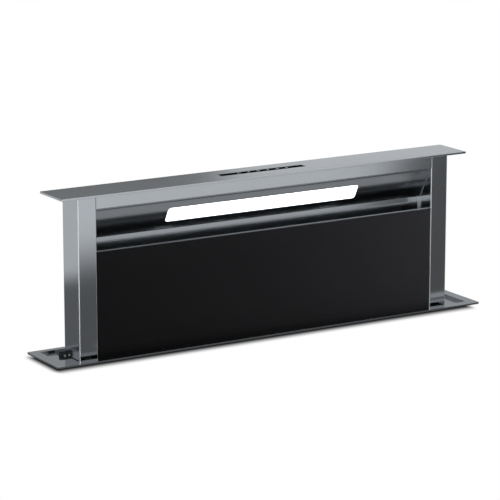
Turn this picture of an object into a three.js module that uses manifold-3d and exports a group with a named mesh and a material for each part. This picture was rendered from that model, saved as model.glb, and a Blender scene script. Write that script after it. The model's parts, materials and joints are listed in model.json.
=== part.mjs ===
import * as THREE from 'three';
import { mergeVertices } from 'three/addons/utils/BufferGeometryUtils.js';
import Module from 'manifold-3d';

// A downdraft extractor let into a worktop, drawn with its head raised.
// X runs along the unit, Y to its back, Z up. The worktop's surface is Z = 0.

const wasm = await Module();
wasm.setup();

// ---------------------------------------------------------------- driving sizes, in millimetres

// Head
const LIFT_TRAVEL = 300;
const CAP_LENGTH = 880;
const CAP_DEPTH = 86;
const CAP_THICKNESS = 4;
const CAP_END_OVERHANG = 36.7;
const CAP_FRONT_OVERHANG = 10;
const COLUMN_WIDTH = 37.3;
const COLUMN_DEPTH = 60;
const COLUMN_WALL = 1.5;
const COLUMN_CORNER = 2;
const COLUMN_TAIL_LENGTH = 90;
const FASCIA_HEIGHT = 24.5;
const FASCIA_RETURN = 5;
const SHEET = 1.5;

// Recess above the intake slot
const SLOPE_TOP_DROP = 27.7;
const SLOPE_TOP_SETBACK = 7.7;
const SLOPE_RUN = 31.7;
const SLOPE_FALL = 56.8;
const BEND_RADIUS = 2;
const RECESS_LEG = 38.5;
const WINDOW_LENGTH = 416;
const WINDOW_HEIGHT = 32.2;
const WINDOW_START = 16.6;
const WINDOW_CORNER = 6;
const DIFFUSER_THICKNESS = 3;
const LIGHT_TRAY_DEPTH = 12;
const LIGHT_TRAY_MARGIN = 4;
const LIGHT_TRAY_SHEET = 1.2;
const LED_STRIP_HEIGHT = 18;
const LED_STRIP_THICKNESS = 1.2;

// Touch control
const TOUCH_LENGTH = 184;
const TOUCH_DEPTH = 16.5;
const TOUCH_THICKNESS = 2.5;
const TOUCH_OFFSET_X = 3;
const TOUCH_OFFSET_Y = 1.75;
const TOUCH_SENSOR_MARGIN = 4;
const BOARD_THICKNESS = 1.6;

// Front panel
const PANEL_TOP_DROP = 107.1;
const PANEL_TAIL = 8;
const GLASS_THICKNESS = 4;
const TRAY_DEPTH = 8;
const TRAY_SHEET = 1.2;
const TRAY_SETBACK = 2;
const PANEL_SIDE_GAP = 1;
const HINGE_SETBACK = 8;
const HINGE_HEIGHT = 6;
const HINGE_PIN_RADIUS = 2;
const HINGE_PIN_LENGTH = 8.5;

// Grease filters
const FILTER_THICKNESS = 9;
const FILTER_RIM = 14;
const FILTER_DISH = 2;
const FILTER_FOOT = 10;
const FILTER_LAP = 10;
const FILTER_SIDE_GAP = 2;
const HANDLE_LENGTH = 40;
const HANDLE_REACH = 6;
const HANDLE_BAR = 3;
const CROSSBAR_RISE = 18;
const CROSSBAR_THICKNESS = 4;
const CROSSBAR_LAP = 5;

// Trim frame and the body under the worktop
const RIM_HEIGHT = 4;
const GASKET_THICKNESS = 1;
const GASKET_INSET = 2;
const RIM_END = 20.5;
const RIM_FRONT = 19;
const RIM_BACK = 12.5;
const CAP_GAP_END = 3.5;
const CAP_GAP_FRONT = 2.5;
const CAP_GAP_BACK = 4;
const LEDGE_THICKNESS = 2;
const LEDGE_CLEARANCE = 1;
const WELL_WALL = 2;
const COLUMN_GAP = 2;
const HOUSING_DEPTH = 640;

// Guides
const RAIL_REACH = 20;
const RAIL_WIDTH = 12;
const RAIL_SETBACK = 23;
const SHOE_REACH = 29.5;
const SHOE_HEIGHT = 64;
const SHOE_CHEEK = 8;
const PAD_LENGTH = 16;
const PAD_HEIGHT = 26;

// Lift drive
const GEAR_MODULE = 1.25;
const PINION_TEETH = 12;
const PRESSURE_ANGLE = 20;
const PINION_ADDENDUM = 1;
const PINION_DEDENDUM = 1.3;
const PINION_FACE = 9;
const PINION_SIDE_GAP = 1;
const RACK_FACE = 10;
const RACK_ADDENDUM = 0.9;
const RACK_DEDENDUM = 1.45;
const RACK_OVERRUN = 13;
const RACK_TOP_GAP = 5;
const RACK_BACKING = 9.3;
const SHAFT_RADIUS = 4;
const SHAFT_SETBACK = 7.7;
const SHAFT_HOLE_GAP = 2;
const BEARING_LENGTH = 16;
const BEARING_HEIGHT = 22;
const BEARING_NOSE = 7.3;
const BEARING_SIDE_GAP = 3;
const GEARBOX_LENGTH = 56;
const GEARBOX_DEPTH = 46;
const GEARBOX_HEIGHT = 56;
const LIFT_MOTOR_RADIUS = 18;
const LIFT_MOTOR_LENGTH = 70;

// Fan
const CASING_LENGTH = 340;
const CASING_HEIGHT = 360;
const CASING_SHEET = 1.2;
const CASING_BACK_GAP = 8.8;
const FAN_OFFSET_X = -40;
const FAN_DEPTH = 440;
const SCROLL_DEPTH = 112;
const SCROLL_START_RADIUS = 86;
const SCROLL_END_RADIUS = 140;
const SCROLL_TONGUE_ANGLE = 35;
const SCROLL_STEP_ANGLE = 13;
const SCROLL_WALL = 2;
const INLET_RADIUS = 62;
const INLET_CUTOUT = 120;
const IMPELLER_RADIUS = 75;
const IMPELLER_WIDTH = 92;
const BLADE_COUNT = 20;
const BLADE_CHORD = 14.4;
const BLADE_THICKNESS = 1.5;
const BLADE_PITCH_ANGLE = 35;
const RING_DEPTH = 18;
const IMPELLER_PLATE = 2;
const IMPELLER_GAP = 2;
const HUB_RADIUS = 10;
const HUB_LENGTH = 18;
const HUB_GAP = 1;
const SPINDLE_REACH = 14;
const FAN_MOTOR_RADIUS = 48;
const FAN_MOTOR_LENGTH = 28;

// Duct collar
const COLLAR_RADIUS = 75;
const COLLAR_LENGTH = 82;
const COLLAR_WALL = 1.5;
const COLLAR_FLANGE = 10;
const COLLAR_FLANGE_THICKNESS = 2;
const FLAP_DROP = 16;
const FLAP_THICKNESS = 1.5;
const FLAP_EDGE_GAP = 2;
const FLAP_PIN_RADIUS = 2;
const KNUCKLE_RADIUS = 4;
const KNUCKLE_LENGTH = 26;
const KNUCKLE_GAP = 1;

// Mains box, worktop clamps and harness clip
const BOX_LENGTH = 160;
const BOX_DEPTH = 55;
const BOX_HEIGHT = 130;
const BOX_TOP = 60;
const BOX_OFFSET_X = -320;
const BOX_WALL = 2;
const BOX_LID = 2;
const BOARD_MARGIN = 8;
const GLAND_RADIUS = 9;
const GLAND_LENGTH = 16;
const GLAND_BORE = 4;
const WORKTOP_THICKNESS = 38;
const CLAMP_WIDTH = 40;
const CLAMP_REACH = 38;
const CLAMP_SHEET = 2;
const CLAMP_DROP = 12;
const CLAMP_LEG = 45;
const CLAMP_SCREW_RADIUS = 3;
const CLAMP_SCREW_REACH = 21;
const CLAMP_SCREW_LENGTH = 36;
const CLAMP_PAD_RADIUS = 8;
const CLAMP_PAD_THICKNESS = 2;
const CLIP_LENGTH = 12.5;
const CLIP_DEPTH = 8.5;
const CLIP_HEIGHT = 10;
const CLIP_DROP = 3;

// Clearances
const FIT = 0.5;
const RUNNING_FIT = 0.1;
const TURNED_GAP = 0.3;
const OVERCUT = 1;

// Facets
const ROUND_STEPS = 32;
const SMALL_STEPS = 16;
const BEND_STEPS = 4;

// ---------------------------------------------------------------- sizes worked out from them

const capHalf = CAP_LENGTH / 2;
const capTop = RIM_HEIGHT + LIFT_TRAVEL;
const capUnder = capTop - CAP_THICKNESS;
const columnOuter = capHalf - CAP_END_OVERHANG;
const columnInner = columnOuter - COLUMN_WIDTH;
const columnFront = -CAP_DEPTH / 2 + CAP_FRONT_OVERHANG;
const columnBack = columnFront + COLUMN_DEPTH;

const wellHalf = capHalf + CAP_GAP_END;
const wellFront = -CAP_DEPTH / 2 - CAP_GAP_FRONT;
const wellBack = CAP_DEPTH / 2 + CAP_GAP_BACK;
const ledgeTop = RIM_HEIGHT - CAP_THICKNESS - LEDGE_CLEARANCE;
const ledgeUnder = ledgeTop - LEDGE_THICKNESS;
const housingHalf = wellHalf + WELL_WALL;
const housingFront = wellFront - WELL_WALL;
const housingBack = wellBack + WELL_WALL;
const housingFloor = -HOUSING_DEPTH;
const insideHalf = housingHalf - SHEET;
const insideFront = housingFront + SHEET;
const insideBack = housingBack - SHEET;

const panelTop = capTop - PANEL_TOP_DROP;
const glassBack = columnFront + GLASS_THICKNESS;
const trayBack = glassBack + TRAY_DEPTH;
const hingeY = columnFront + HINGE_SETBACK;

const slopeTop = [columnFront + SLOPE_TOP_SETBACK, capUnder - SLOPE_TOP_DROP];
const slopeFoot = [slopeTop[0] + SLOPE_RUN, slopeTop[1] - SLOPE_FALL];
const slopeAngle = Math.atan2(SLOPE_RUN, SLOPE_FALL);
const recessFoot = slopeFoot[1] - RECESS_LEG;

const driveDepth = LIFT_TRAVEL + RACK_OVERRUN + RACK_TOP_GAP - ledgeUnder;
const shaftY = columnBack + SHAFT_SETBACK;
const pinionPitchRadius = GEAR_MODULE * PINION_TEETH / 2;
const toothPitch = Math.PI * GEAR_MODULE;
const bearingStart = columnOuter + RACK_FACE + BEARING_SIDE_GAP;

const fanCentre = [FAN_OFFSET_X, -FAN_DEPTH];
const outletInner = SCROLL_START_RADIUS * Math.cos(THREE.MathUtils.degToRad(SCROLL_TONGUE_ANGLE));
const ductCentreX = FAN_OFFSET_X + (outletInner + SCROLL_END_RADIUS) / 2;
const ductCentreY = housingFront - SCROLL_DEPTH / 2;
const casingDepth = SCROLL_DEPTH + FAN_MOTOR_LENGTH + CASING_BACK_GAP + CASING_SHEET;
const flapZ = housingFloor - FLAP_DROP;

// ---------------------------------------------------------------- finishes

function finish(colour, roughness, metalness) {
  return { colour, roughness, metalness };
}

const BRUSHED_STEEL = finish('#a7aaad', 0.32, 1.0);
const GALVANISED = finish('#9a9fa3', 0.5, 0.9);
const BRIGHT_STEEL = finish('#c3c6c8', 0.25, 1.0);
const ALUMINIUM = finish('#b9bcbe', 0.42, 0.95);
const BLACK_GLASS = finish('#0e1011', 0.06, 0.0);
const BLACK_NYLON = finish('#161718', 0.6, 0.0);
const BLACK_RUBBER = finish('#1b1b1b', 0.85, 0.0);
const BLACK_PAINT = finish('#232527', 0.5, 0.3);
const OPAL_ACRYLIC = finish('#f4f6f8', 0.4, 0.0);
const WHITE_PAINT = finish('#e6e7e8', 0.6, 0.0);
const GREEN_BOARD = finish('#1f5a3a', 0.55, 0.0);
const GREY_PLASTIC = finish('#8d9194', 0.5, 0.0);

// ---------------------------------------------------------------- shaping helpers

function block(x, y, z) {
  const geometry = new THREE.BoxGeometry(x[1] - x[0], y[1] - y[0], z[1] - z[0]);
  return geometry.translate((x[0] + x[1]) / 2, (y[0] + y[1]) / 2, (z[0] + z[1]) / 2);
}

// A span from a to b on the +X side (side = 1) or mirrored to the -X side (side = -1).
function onSide(side, a, b) {
  return side > 0 ? [a, b] : [-b, -a];
}

function outlineShape(points) {
  return new THREE.Shape(points.map(([u, v]) => new THREE.Vector2(u, v)));
}

function extrude(shape, length) {
  return new THREE.ExtrudeGeometry(shape, { depth: length, bevelEnabled: false, curveSegments: BEND_STEPS });
}

// An outline in (y, z), run along X.
function alongX(shape, x) {
  const turn = new THREE.Matrix4().makeBasis(
    new THREE.Vector3(0, 1, 0),
    new THREE.Vector3(0, 0, 1),
    new THREE.Vector3(1, 0, 0),
  );
  return extrude(shape, x[1] - x[0]).applyMatrix4(turn).translate(x[0], 0, 0);
}

// An outline in (z, x), run along Y.
function alongY(shape, y) {
  const turn = new THREE.Matrix4().makeBasis(
    new THREE.Vector3(0, 0, 1),
    new THREE.Vector3(1, 0, 0),
    new THREE.Vector3(0, 1, 0),
  );
  return extrude(shape, y[1] - y[0]).applyMatrix4(turn).translate(0, y[0], 0);
}

// An outline in (x, y), run along Z.
function alongZ(shape, z) {
  return extrude(shape, z[1] - z[0]).translate(0, 0, z[0]);
}

function roundX(radius, x, y, z, steps = ROUND_STEPS) {
  const rod = new THREE.CylinderGeometry(radius, radius, x[1] - x[0], steps);
  return rod.rotateZ(Math.PI / 2).translate((x[0] + x[1]) / 2, y, z);
}

function roundY(radius, x, y, z, steps = ROUND_STEPS) {
  const rod = new THREE.CylinderGeometry(radius, radius, y[1] - y[0], steps);
  return rod.translate(x, (y[0] + y[1]) / 2, z);
}

function roundZ(radius, x, y, z, steps = ROUND_STEPS) {
  const rod = new THREE.CylinderGeometry(radius, radius, z[1] - z[0], steps);
  return rod.rotateX(Math.PI / 2).translate(x, y, (z[0] + z[1]) / 2);
}

// A closed profile of [radius, z] points turned about the Z axis at (x, y).
function turned(profile, x, y, steps) {
  const closed = [...profile, profile[0]].map(([radius, z]) => new THREE.Vector2(radius, z));
  return new THREE.LatheGeometry(closed, steps).rotateX(Math.PI / 2).translate(x, y, 0);
}

function roundedRectangle(x, y, radius) {
  const shape = new THREE.Shape();
  shape.moveTo(x[0] + radius, y[0]);
  shape.lineTo(x[1] - radius, y[0]);
  shape.absarc(x[1] - radius, y[0] + radius, radius, -Math.PI / 2, 0);
  shape.lineTo(x[1], y[1] - radius);
  shape.absarc(x[1] - radius, y[1] - radius, radius, 0, Math.PI / 2);
  shape.lineTo(x[0] + radius, y[1]);
  shape.absarc(x[0] + radius, y[1] - radius, radius, Math.PI / 2, Math.PI);
  shape.lineTo(x[0], y[0] + radius);
  shape.absarc(x[0] + radius, y[0] + radius, radius, Math.PI, 3 * Math.PI / 2);
  return shape;
}

function toSolid(geometry) {
  const bare = geometry.clone();
  bare.deleteAttribute('normal');
  bare.deleteAttribute('uv');
  const welded = mergeVertices(bare);
  const vertProperties = new Float32Array(welded.attributes.position.array);
  const triVerts = new Uint32Array(welded.index.array);
  return new wasm.Manifold(new wasm.Mesh({ numProp: 3, vertProperties, triVerts }));
}

function toGeometry(solid) {
  const mesh = solid.getMesh();
  const geometry = new THREE.BufferGeometry();
  geometry.setAttribute('position', new THREE.BufferAttribute(mesh.vertProperties, 3));
  geometry.setIndex(new THREE.BufferAttribute(mesh.triVerts, 1));
  const flat = geometry.toNonIndexed();
  flat.computeVertexNormals();
  return flat;
}

function cut(body, ...tools) {
  return toGeometry(tools.reduce((solid, tool) => solid.subtract(toSolid(tool)), toSolid(body)));
}

function join(body, ...others) {
  return toGeometry(others.reduce((solid, other) => solid.add(toSolid(other)), toSolid(body)));
}

// Makes the named mesh and moves its own origin to the middle of the piece.
function piece(name, geometry, look) {
  geometry.computeBoundingBox();
  const centre = geometry.boundingBox.getCenter(new THREE.Vector3());
  geometry.translate(-centre.x, -centre.y, -centre.z);
  const material = new THREE.MeshStandardMaterial({
    color: look.colour,
    roughness: look.roughness,
    metalness: look.metalness,
  });
  const mesh = new THREE.Mesh(geometry, material);
  mesh.name = name;
  mesh.position.copy(centre);
  return mesh;
}

function group(name, ...children) {
  const holder = new THREE.Group();
  holder.name = name;
  holder.add(...children);
  return holder;
}

const SIDES = [['left', -1], ['right', 1]];

// ---------------------------------------------------------------- trim frame

function trimFrame() {
  const rim = block(
    [-wellHalf - RIM_END, wellHalf + RIM_END],
    [wellFront - RIM_FRONT, wellBack + RIM_BACK],
    [GASKET_THICKNESS, RIM_HEIGHT],
  );
  const tub = block([-housingHalf, housingHalf], [housingFront, housingBack], [ledgeUnder, RIM_HEIGHT]);
  const well = block([-wellHalf, wellHalf], [wellFront, wellBack], [ledgeTop, RIM_HEIGHT + OVERCUT]);
  const aperture = block(
    [-columnOuter - COLUMN_GAP, columnOuter + COLUMN_GAP],
    [wellFront, columnBack + COLUMN_GAP],
    [ledgeUnder - OVERCUT, ledgeTop + OVERCUT],
  );
  const clipNotch = block(
    [-columnOuter - CLIP_LENGTH - COLUMN_GAP, -columnOuter],
    [columnBack - CLIP_DEPTH - COLUMN_GAP, columnBack + COLUMN_GAP],
    [ledgeUnder - OVERCUT, ledgeTop + OVERCUT],
  );
  return piece('trim_frame', cut(join(rim, tub), well, aperture, clipNotch), BRUSHED_STEEL);
}

function frameGasket() {
  const sheet = block(
    [-wellHalf - RIM_END + GASKET_INSET, wellHalf + RIM_END - GASKET_INSET],
    [wellFront - RIM_FRONT + GASKET_INSET, wellBack + RIM_BACK - GASKET_INSET],
    [0, GASKET_THICKNESS],
  );
  const opening = block(
    [-housingHalf, housingHalf],
    [housingFront, housingBack],
    [-OVERCUT, GASKET_THICKNESS + OVERCUT],
  );
  return piece('frame_gasket', cut(sheet, opening), BLACK_RUBBER);
}

// ---------------------------------------------------------------- housing under the worktop

function housing() {
  const wallHeight = [housingFloor, ledgeUnder];
  const frontSheet = block([-housingHalf, housingHalf], [housingFront, insideFront], wallHeight);
  const inlet = block(
    [fanCentre[0] - INLET_CUTOUT / 2, fanCentre[0] + INLET_CUTOUT / 2],
    [housingFront - OVERCUT, insideFront + OVERCUT],
    [fanCentre[1] - INLET_CUTOUT / 2, fanCentre[1] + INLET_CUTOUT / 2],
  );
  const rearSheet = block([-housingHalf, housingHalf], [insideBack, housingBack], wallHeight);
  const leftSheet = block([-housingHalf, -insideHalf], [insideFront, insideBack], wallHeight);
  const shaftHole = roundX(
    SHAFT_RADIUS + SHAFT_HOLE_GAP,
    [-housingHalf - OVERCUT, -insideHalf + OVERCUT],
    shaftY,
    -driveDepth,
  );
  const rightSheet = block([insideHalf, housingHalf], [insideFront, insideBack], wallHeight);
  const floorSheet = block(
    [-insideHalf, insideHalf],
    [insideFront, insideBack],
    [housingFloor, housingFloor + SHEET],
  );
  return group(
    'housing',
    piece('housing_front_panel', cut(frontSheet, inlet), GALVANISED),
    piece('housing_rear_panel', rearSheet, GALVANISED),
    piece('housing_left_panel', cut(leftSheet, shaftHole), GALVANISED),
    piece('housing_right_panel', rightSheet, GALVANISED),
    piece('housing_floor', floorSheet, GALVANISED),
  );
}

function guides(label, side) {
  const railMiddle = columnFront + RAIL_SETBACK;
  const rail = block(
    onSide(side, insideHalf - RAIL_REACH, insideHalf),
    [railMiddle - RAIL_WIDTH / 2, railMiddle + RAIL_WIDTH / 2],
    [housingFloor + SHEET, ledgeUnder - FIT],
  );
  const padStart = columnInner + COLUMN_CORNER + FIT;
  const padX = onSide(side, padStart, padStart + PAD_LENGTH);
  const padZ = [ledgeUnder - PAD_HEIGHT, ledgeUnder];
  return group(
    `${label}_guides`,
    piece(`${label}_guide_rail`, rail, ALUMINIUM),
    piece(`${label}_front_guide_pad`, block(padX, [insideFront, columnFront - FIT], padZ), BLACK_NYLON),
    piece(`${label}_rear_guide_pad`, block(padX, [columnBack + FIT, insideBack], padZ), BLACK_NYLON),
  );
}

function worktopClamp(label, side) {
  const shelfTop = -WORKTOP_THICKNESS - CLAMP_DROP;
  const leg = block(
    onSide(side, housingHalf, housingHalf + CLAMP_SHEET),
    [-CLAMP_WIDTH / 2, CLAMP_WIDTH / 2],
    [shelfTop - CLAMP_LEG, shelfTop],
  );
  const shelf = block(
    onSide(side, housingHalf, housingHalf + CLAMP_REACH),
    [-CLAMP_WIDTH / 2, CLAMP_WIDTH / 2],
    [shelfTop - CLAMP_SHEET, shelfTop],
  );
  const screwX = side * (housingHalf + CLAMP_SCREW_REACH);
  const screwHole = roundZ(CLAMP_SCREW_RADIUS, screwX, 0, [shelfTop - CLAMP_LEG, shelfTop + OVERCUT]);
  const padTop = -WORKTOP_THICKNESS;
  const stem = roundZ(CLAMP_SCREW_RADIUS - RUNNING_FIT, screwX, 0, [padTop - CLAMP_SCREW_LENGTH, padTop]);
  const pad = roundZ(CLAMP_PAD_RADIUS, screwX, 0, [padTop - CLAMP_PAD_THICKNESS, padTop]);
  return group(
    `${label}_clamp`,
    piece(`${label}_clamp_bracket`, cut(join(leg, shelf), screwHole), GALVANISED),
    piece(`${label}_clamp_screw`, join(stem, pad), BRIGHT_STEEL),
  );
}

// ---------------------------------------------------------------- lift drive

// Rack outline in (y, z): straight-sided teeth facing the back.
function rackOutline() {
  const pitchY = shaftY - pinionPitchRadius;
  const tipY = pitchY + RACK_ADDENDUM;
  const rootY = pitchY - RACK_DEDENDUM;
  const flank = Math.tan(THREE.MathUtils.degToRad(PRESSURE_ANGLE));
  const halfAtPitch = toothPitch / 4 - RUNNING_FIT;
  const halfTip = halfAtPitch - (tipY - pitchY) * flank;
  const halfRoot = halfAtPitch + (pitchY - rootY) * flank;
  const foot = -driveDepth - RACK_OVERRUN;
  const top = ledgeUnder - RACK_TOP_GAP;
  const points = [[rootY - RACK_BACKING, foot], [rootY, foot]];
  const first = Math.ceil((foot + toothPitch / 2 + driveDepth) / toothPitch);
  const last = Math.floor((top - toothPitch / 2 + driveDepth) / toothPitch);
  for (let tooth = first; tooth <= last; tooth += 1) {
    const middle = -driveDepth + tooth * toothPitch;
    points.push([rootY, middle - halfRoot]);
    points.push([tipY, middle - halfTip]);
    points.push([tipY, middle + halfTip]);
    points.push([rootY, middle + halfRoot]);
  }
  points.push([rootY, top], [rootY - RACK_BACKING, top]);
  return outlineShape(points);
}

// Involute pinion outline about the origin, with a tooth gap facing -Y.
function pinionOutline() {
  const pressure = THREE.MathUtils.degToRad(PRESSURE_ANGLE);
  const baseRadius = pinionPitchRadius * Math.cos(pressure);
  const tipRadius = pinionPitchRadius + PINION_ADDENDUM;
  const rootRadius = pinionPitchRadius - PINION_DEDENDUM;
  const involute = (angle) => Math.tan(angle) - angle;
  const halfAtPitch = Math.PI / (2 * PINION_TEETH) - RUNNING_FIT / pinionPitchRadius;
  const halfAt = (radius) => {
    const pressureThere = Math.acos(Math.min(1, baseRadius / radius));
    return halfAtPitch + involute(pressure) - involute(pressureThere);
  };
  const radii = [rootRadius, baseRadius, (baseRadius + pinionPitchRadius) / 2, pinionPitchRadius, tipRadius];
  const points = [];
  for (let tooth = 0; tooth < PINION_TEETH; tooth += 1) {
    const middle = Math.PI + (tooth + 0.5) * 2 * Math.PI / PINION_TEETH;
    const rising = radii.map((radius) => [radius, middle - halfAt(radius)]);
    const falling = radii.map((radius) => [radius, middle + halfAt(radius)]).reverse();
    [...rising, ...falling].forEach(([radius, angle]) => {
      points.push([radius * Math.cos(angle), radius * Math.sin(angle)]);
    });
  }
  return outlineShape(points);
}

function rack(label, side) {
  const x = onSide(side, columnOuter, columnOuter + RACK_FACE);
  return piece(`${label}_rack`, alongX(rackOutline(), x), BRIGHT_STEEL);
}

function pinion(label, side) {
  const start = columnOuter + PINION_SIDE_GAP;
  const x = onSide(side, start, start + PINION_FACE);
  const blank = alongX(pinionOutline(), x).translate(0, shaftY, -driveDepth);
  const bore = roundX(SHAFT_RADIUS + RUNNING_FIT, [x[0] - OVERCUT, x[1] + OVERCUT], shaftY, -driveDepth);
  return piece(`${label}_pinion`, cut(blank, bore), BRIGHT_STEEL);
}

function bearing(label, side) {
  const x = onSide(side, bearingStart, bearingStart + BEARING_LENGTH);
  const body = block(
    x,
    [shaftY - BEARING_NOSE, insideBack],
    [-driveDepth - BEARING_HEIGHT / 2, -driveDepth + BEARING_HEIGHT / 2],
  );
  const bore = roundX(SHAFT_RADIUS + RUNNING_FIT, [x[0] - OVERCUT, x[1] + OVERCUT], shaftY, -driveDepth);
  return piece(`${label}_shaft_bearing`, cut(body, bore), BLACK_NYLON);
}

function driveShaft() {
  const x = [-housingHalf - GEARBOX_LENGTH / 2, bearingStart + BEARING_LENGTH];
  return piece('drive_shaft', roundX(SHAFT_RADIUS, x, shaftY, -driveDepth), BRIGHT_STEEL);
}

function gearmotor() {
  const x = [-housingHalf - GEARBOX_LENGTH, -housingHalf];
  const z = [-driveDepth - GEARBOX_HEIGHT / 2, -driveDepth + GEARBOX_HEIGHT / 2];
  const body = block(x, [shaftY - GEARBOX_DEPTH / 2, shaftY + GEARBOX_DEPTH / 2], z);
  const bore = roundX(
    SHAFT_RADIUS + RUNNING_FIT,
    [-housingHalf - GEARBOX_LENGTH / 2 - OVERCUT, -housingHalf + OVERCUT],
    shaftY,
    -driveDepth,
  );
  const can = roundZ(LIFT_MOTOR_RADIUS, (x[0] + x[1]) / 2, shaftY, [z[1], z[1] + LIFT_MOTOR_LENGTH]);
  return group(
    'gearmotor',
    piece('gearbox', cut(body, bore), BLACK_NYLON),
    piece('lift_motor', can, BRIGHT_STEEL),
  );
}

// ---------------------------------------------------------------- fan

function fanCasing() {
  const x = [-CASING_LENGTH / 2, CASING_LENGTH / 2];
  const y = [housingFront - casingDepth, housingFront];
  const z = [housingFloor, housingFloor + CASING_HEIGHT];
  const shell = block(x, y, z);
  const hollow = block(
    [x[0] + CASING_SHEET, x[1] - CASING_SHEET],
    [y[0] + CASING_SHEET, y[1] + OVERCUT],
    [z[0] + CASING_SHEET, z[1] - CASING_SHEET],
  );
  const outlet = roundZ(
    COLLAR_RADIUS - COLLAR_WALL,
    ductCentreX,
    ductCentreY,
    [z[0] - OVERCUT, z[0] + CASING_SHEET + OVERCUT],
  );
  return piece('fan_casing', cut(shell, hollow, outlet), GALVANISED);
}

// Scroll outline in (z, x): a spiral that opens to an outlet pointing down.
function scrollOutline(inset, outletFoot) {
  const sweep = 360 - SCROLL_TONGUE_ANGLE;
  const steps = Math.round(sweep / SCROLL_STEP_ANGLE);
  const points = [];
  for (let step = 0; step <= steps; step += 1) {
    const share = step / steps;
    const angle = THREE.MathUtils.degToRad(-SCROLL_TONGUE_ANGLE - sweep * share);
    const radius = SCROLL_START_RADIUS + (SCROLL_END_RADIUS - SCROLL_START_RADIUS) * share - inset;
    points.push([fanCentre[1] + radius * Math.sin(angle), fanCentre[0] + radius * Math.cos(angle)]);
  }
  points.push([outletFoot, fanCentre[0] + SCROLL_END_RADIUS - inset]);
  points.push([outletFoot, fanCentre[0] + outletInner + inset]);
  points.push([points[0][0], fanCentre[0] + outletInner + inset]);
  return outlineShape(points);
}

function fanScroll() {
  const y = [housingFront - SCROLL_DEPTH, housingFront];
  const foot = housingFloor + CASING_SHEET;
  const shell = alongY(scrollOutline(0, foot), y);
  const hollowY = [y[0] + SCROLL_WALL, y[1] - SCROLL_WALL];
  const hollow = alongY(scrollOutline(SCROLL_WALL, foot - OVERCUT), hollowY);
  const inlet = roundY(INLET_RADIUS, fanCentre[0], [hollowY[1] - OVERCUT, y[1] + OVERCUT], fanCentre[1]);
  const shaftHole = roundY(
    HUB_RADIUS + HUB_GAP,
    fanCentre[0],
    [y[0] - OVERCUT, hollowY[0] + OVERCUT],
    fanCentre[1],
    SMALL_STEPS,
  );
  return piece('fan_scroll', cut(shell, hollow, inlet, shaftHole), BLACK_PAINT);
}

function impeller() {
  const back = housingFront - SCROLL_DEPTH + SCROLL_WALL + IMPELLER_GAP;
  const front = back + IMPELLER_WIDTH;
  const plateBack = front - IMPELLER_PLATE;
  const hub = roundY(HUB_RADIUS, 0, [back, back + HUB_LENGTH], 0, SMALL_STEPS);
  const spindle = roundY(SHAFT_RADIUS, 0, [back - SPINDLE_REACH, back + IMPELLER_PLATE], 0, SMALL_STEPS);
  const disc = roundY(IMPELLER_RADIUS, 0, [back, back + IMPELLER_PLATE], 0);
  const outerRing = roundY(IMPELLER_RADIUS, 0, [plateBack, front], 0);
  const innerRing = roundY(IMPELLER_RADIUS - RING_DEPTH, 0, [plateBack - OVERCUT, front + OVERCUT], 0);
  const blades = [];
  for (let index = 0; index < BLADE_COUNT; index += 1) {
    const blade = block(
      [-BLADE_THICKNESS / 2, BLADE_THICKNESS / 2],
      [back + IMPELLER_PLATE / 2, front - IMPELLER_PLATE / 2],
      [-BLADE_CHORD / 2, BLADE_CHORD / 2],
    );
    blade.rotateY(THREE.MathUtils.degToRad(BLADE_PITCH_ANGLE));
    blade.translate(0, 0, IMPELLER_RADIUS - RING_DEPTH / 2);
    blades.push(blade.rotateY(index * 2 * Math.PI / BLADE_COUNT));
  }
  const wheel = join(disc, hub, spindle, cut(outerRing, innerRing), ...blades);
  return piece('impeller', wheel.translate(fanCentre[0], 0, fanCentre[1]), BLACK_NYLON);
}

function fanMotor() {
  const y = [housingFront - SCROLL_DEPTH - FAN_MOTOR_LENGTH, housingFront - SCROLL_DEPTH];
  const body = roundY(FAN_MOTOR_RADIUS, fanCentre[0], y, fanCentre[1]);
  const bore = roundY(
    SHAFT_RADIUS + RUNNING_FIT * 2,
    fanCentre[0],
    [y[1] - SPINDLE_REACH, y[1] + OVERCUT],
    fanCentre[1],
    SMALL_STEPS,
  );
  return piece('fan_motor', cut(body, bore), BRIGHT_STEEL);
}

// ---------------------------------------------------------------- duct collar with its two flaps

function ductCollar() {
  const inner = COLLAR_RADIUS - COLLAR_WALL;
  const top = housingFloor;
  const profile = [
    [inner, top - COLLAR_LENGTH],
    [COLLAR_RADIUS, top - COLLAR_LENGTH],
    [COLLAR_RADIUS, top - COLLAR_FLANGE_THICKNESS],
    [COLLAR_RADIUS + COLLAR_FLANGE, top - COLLAR_FLANGE_THICKNESS],
    [COLLAR_RADIUS + COLLAR_FLANGE, top],
    [inner, top],
  ];
  return piece('duct_collar', turned(profile, ductCentreX, ductCentreY, ROUND_STEPS), BLACK_NYLON);
}

function flapPin() {
  const reach = (COLLAR_RADIUS - COLLAR_WALL) * Math.cos(Math.PI / ROUND_STEPS) - RUNNING_FIT;
  const y = [ductCentreY - reach, ductCentreY + reach];
  return piece('flap_pin', roundY(FLAP_PIN_RADIUS, ductCentreX, y, flapZ, SMALL_STEPS), BRIGHT_STEEL);
}

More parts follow.
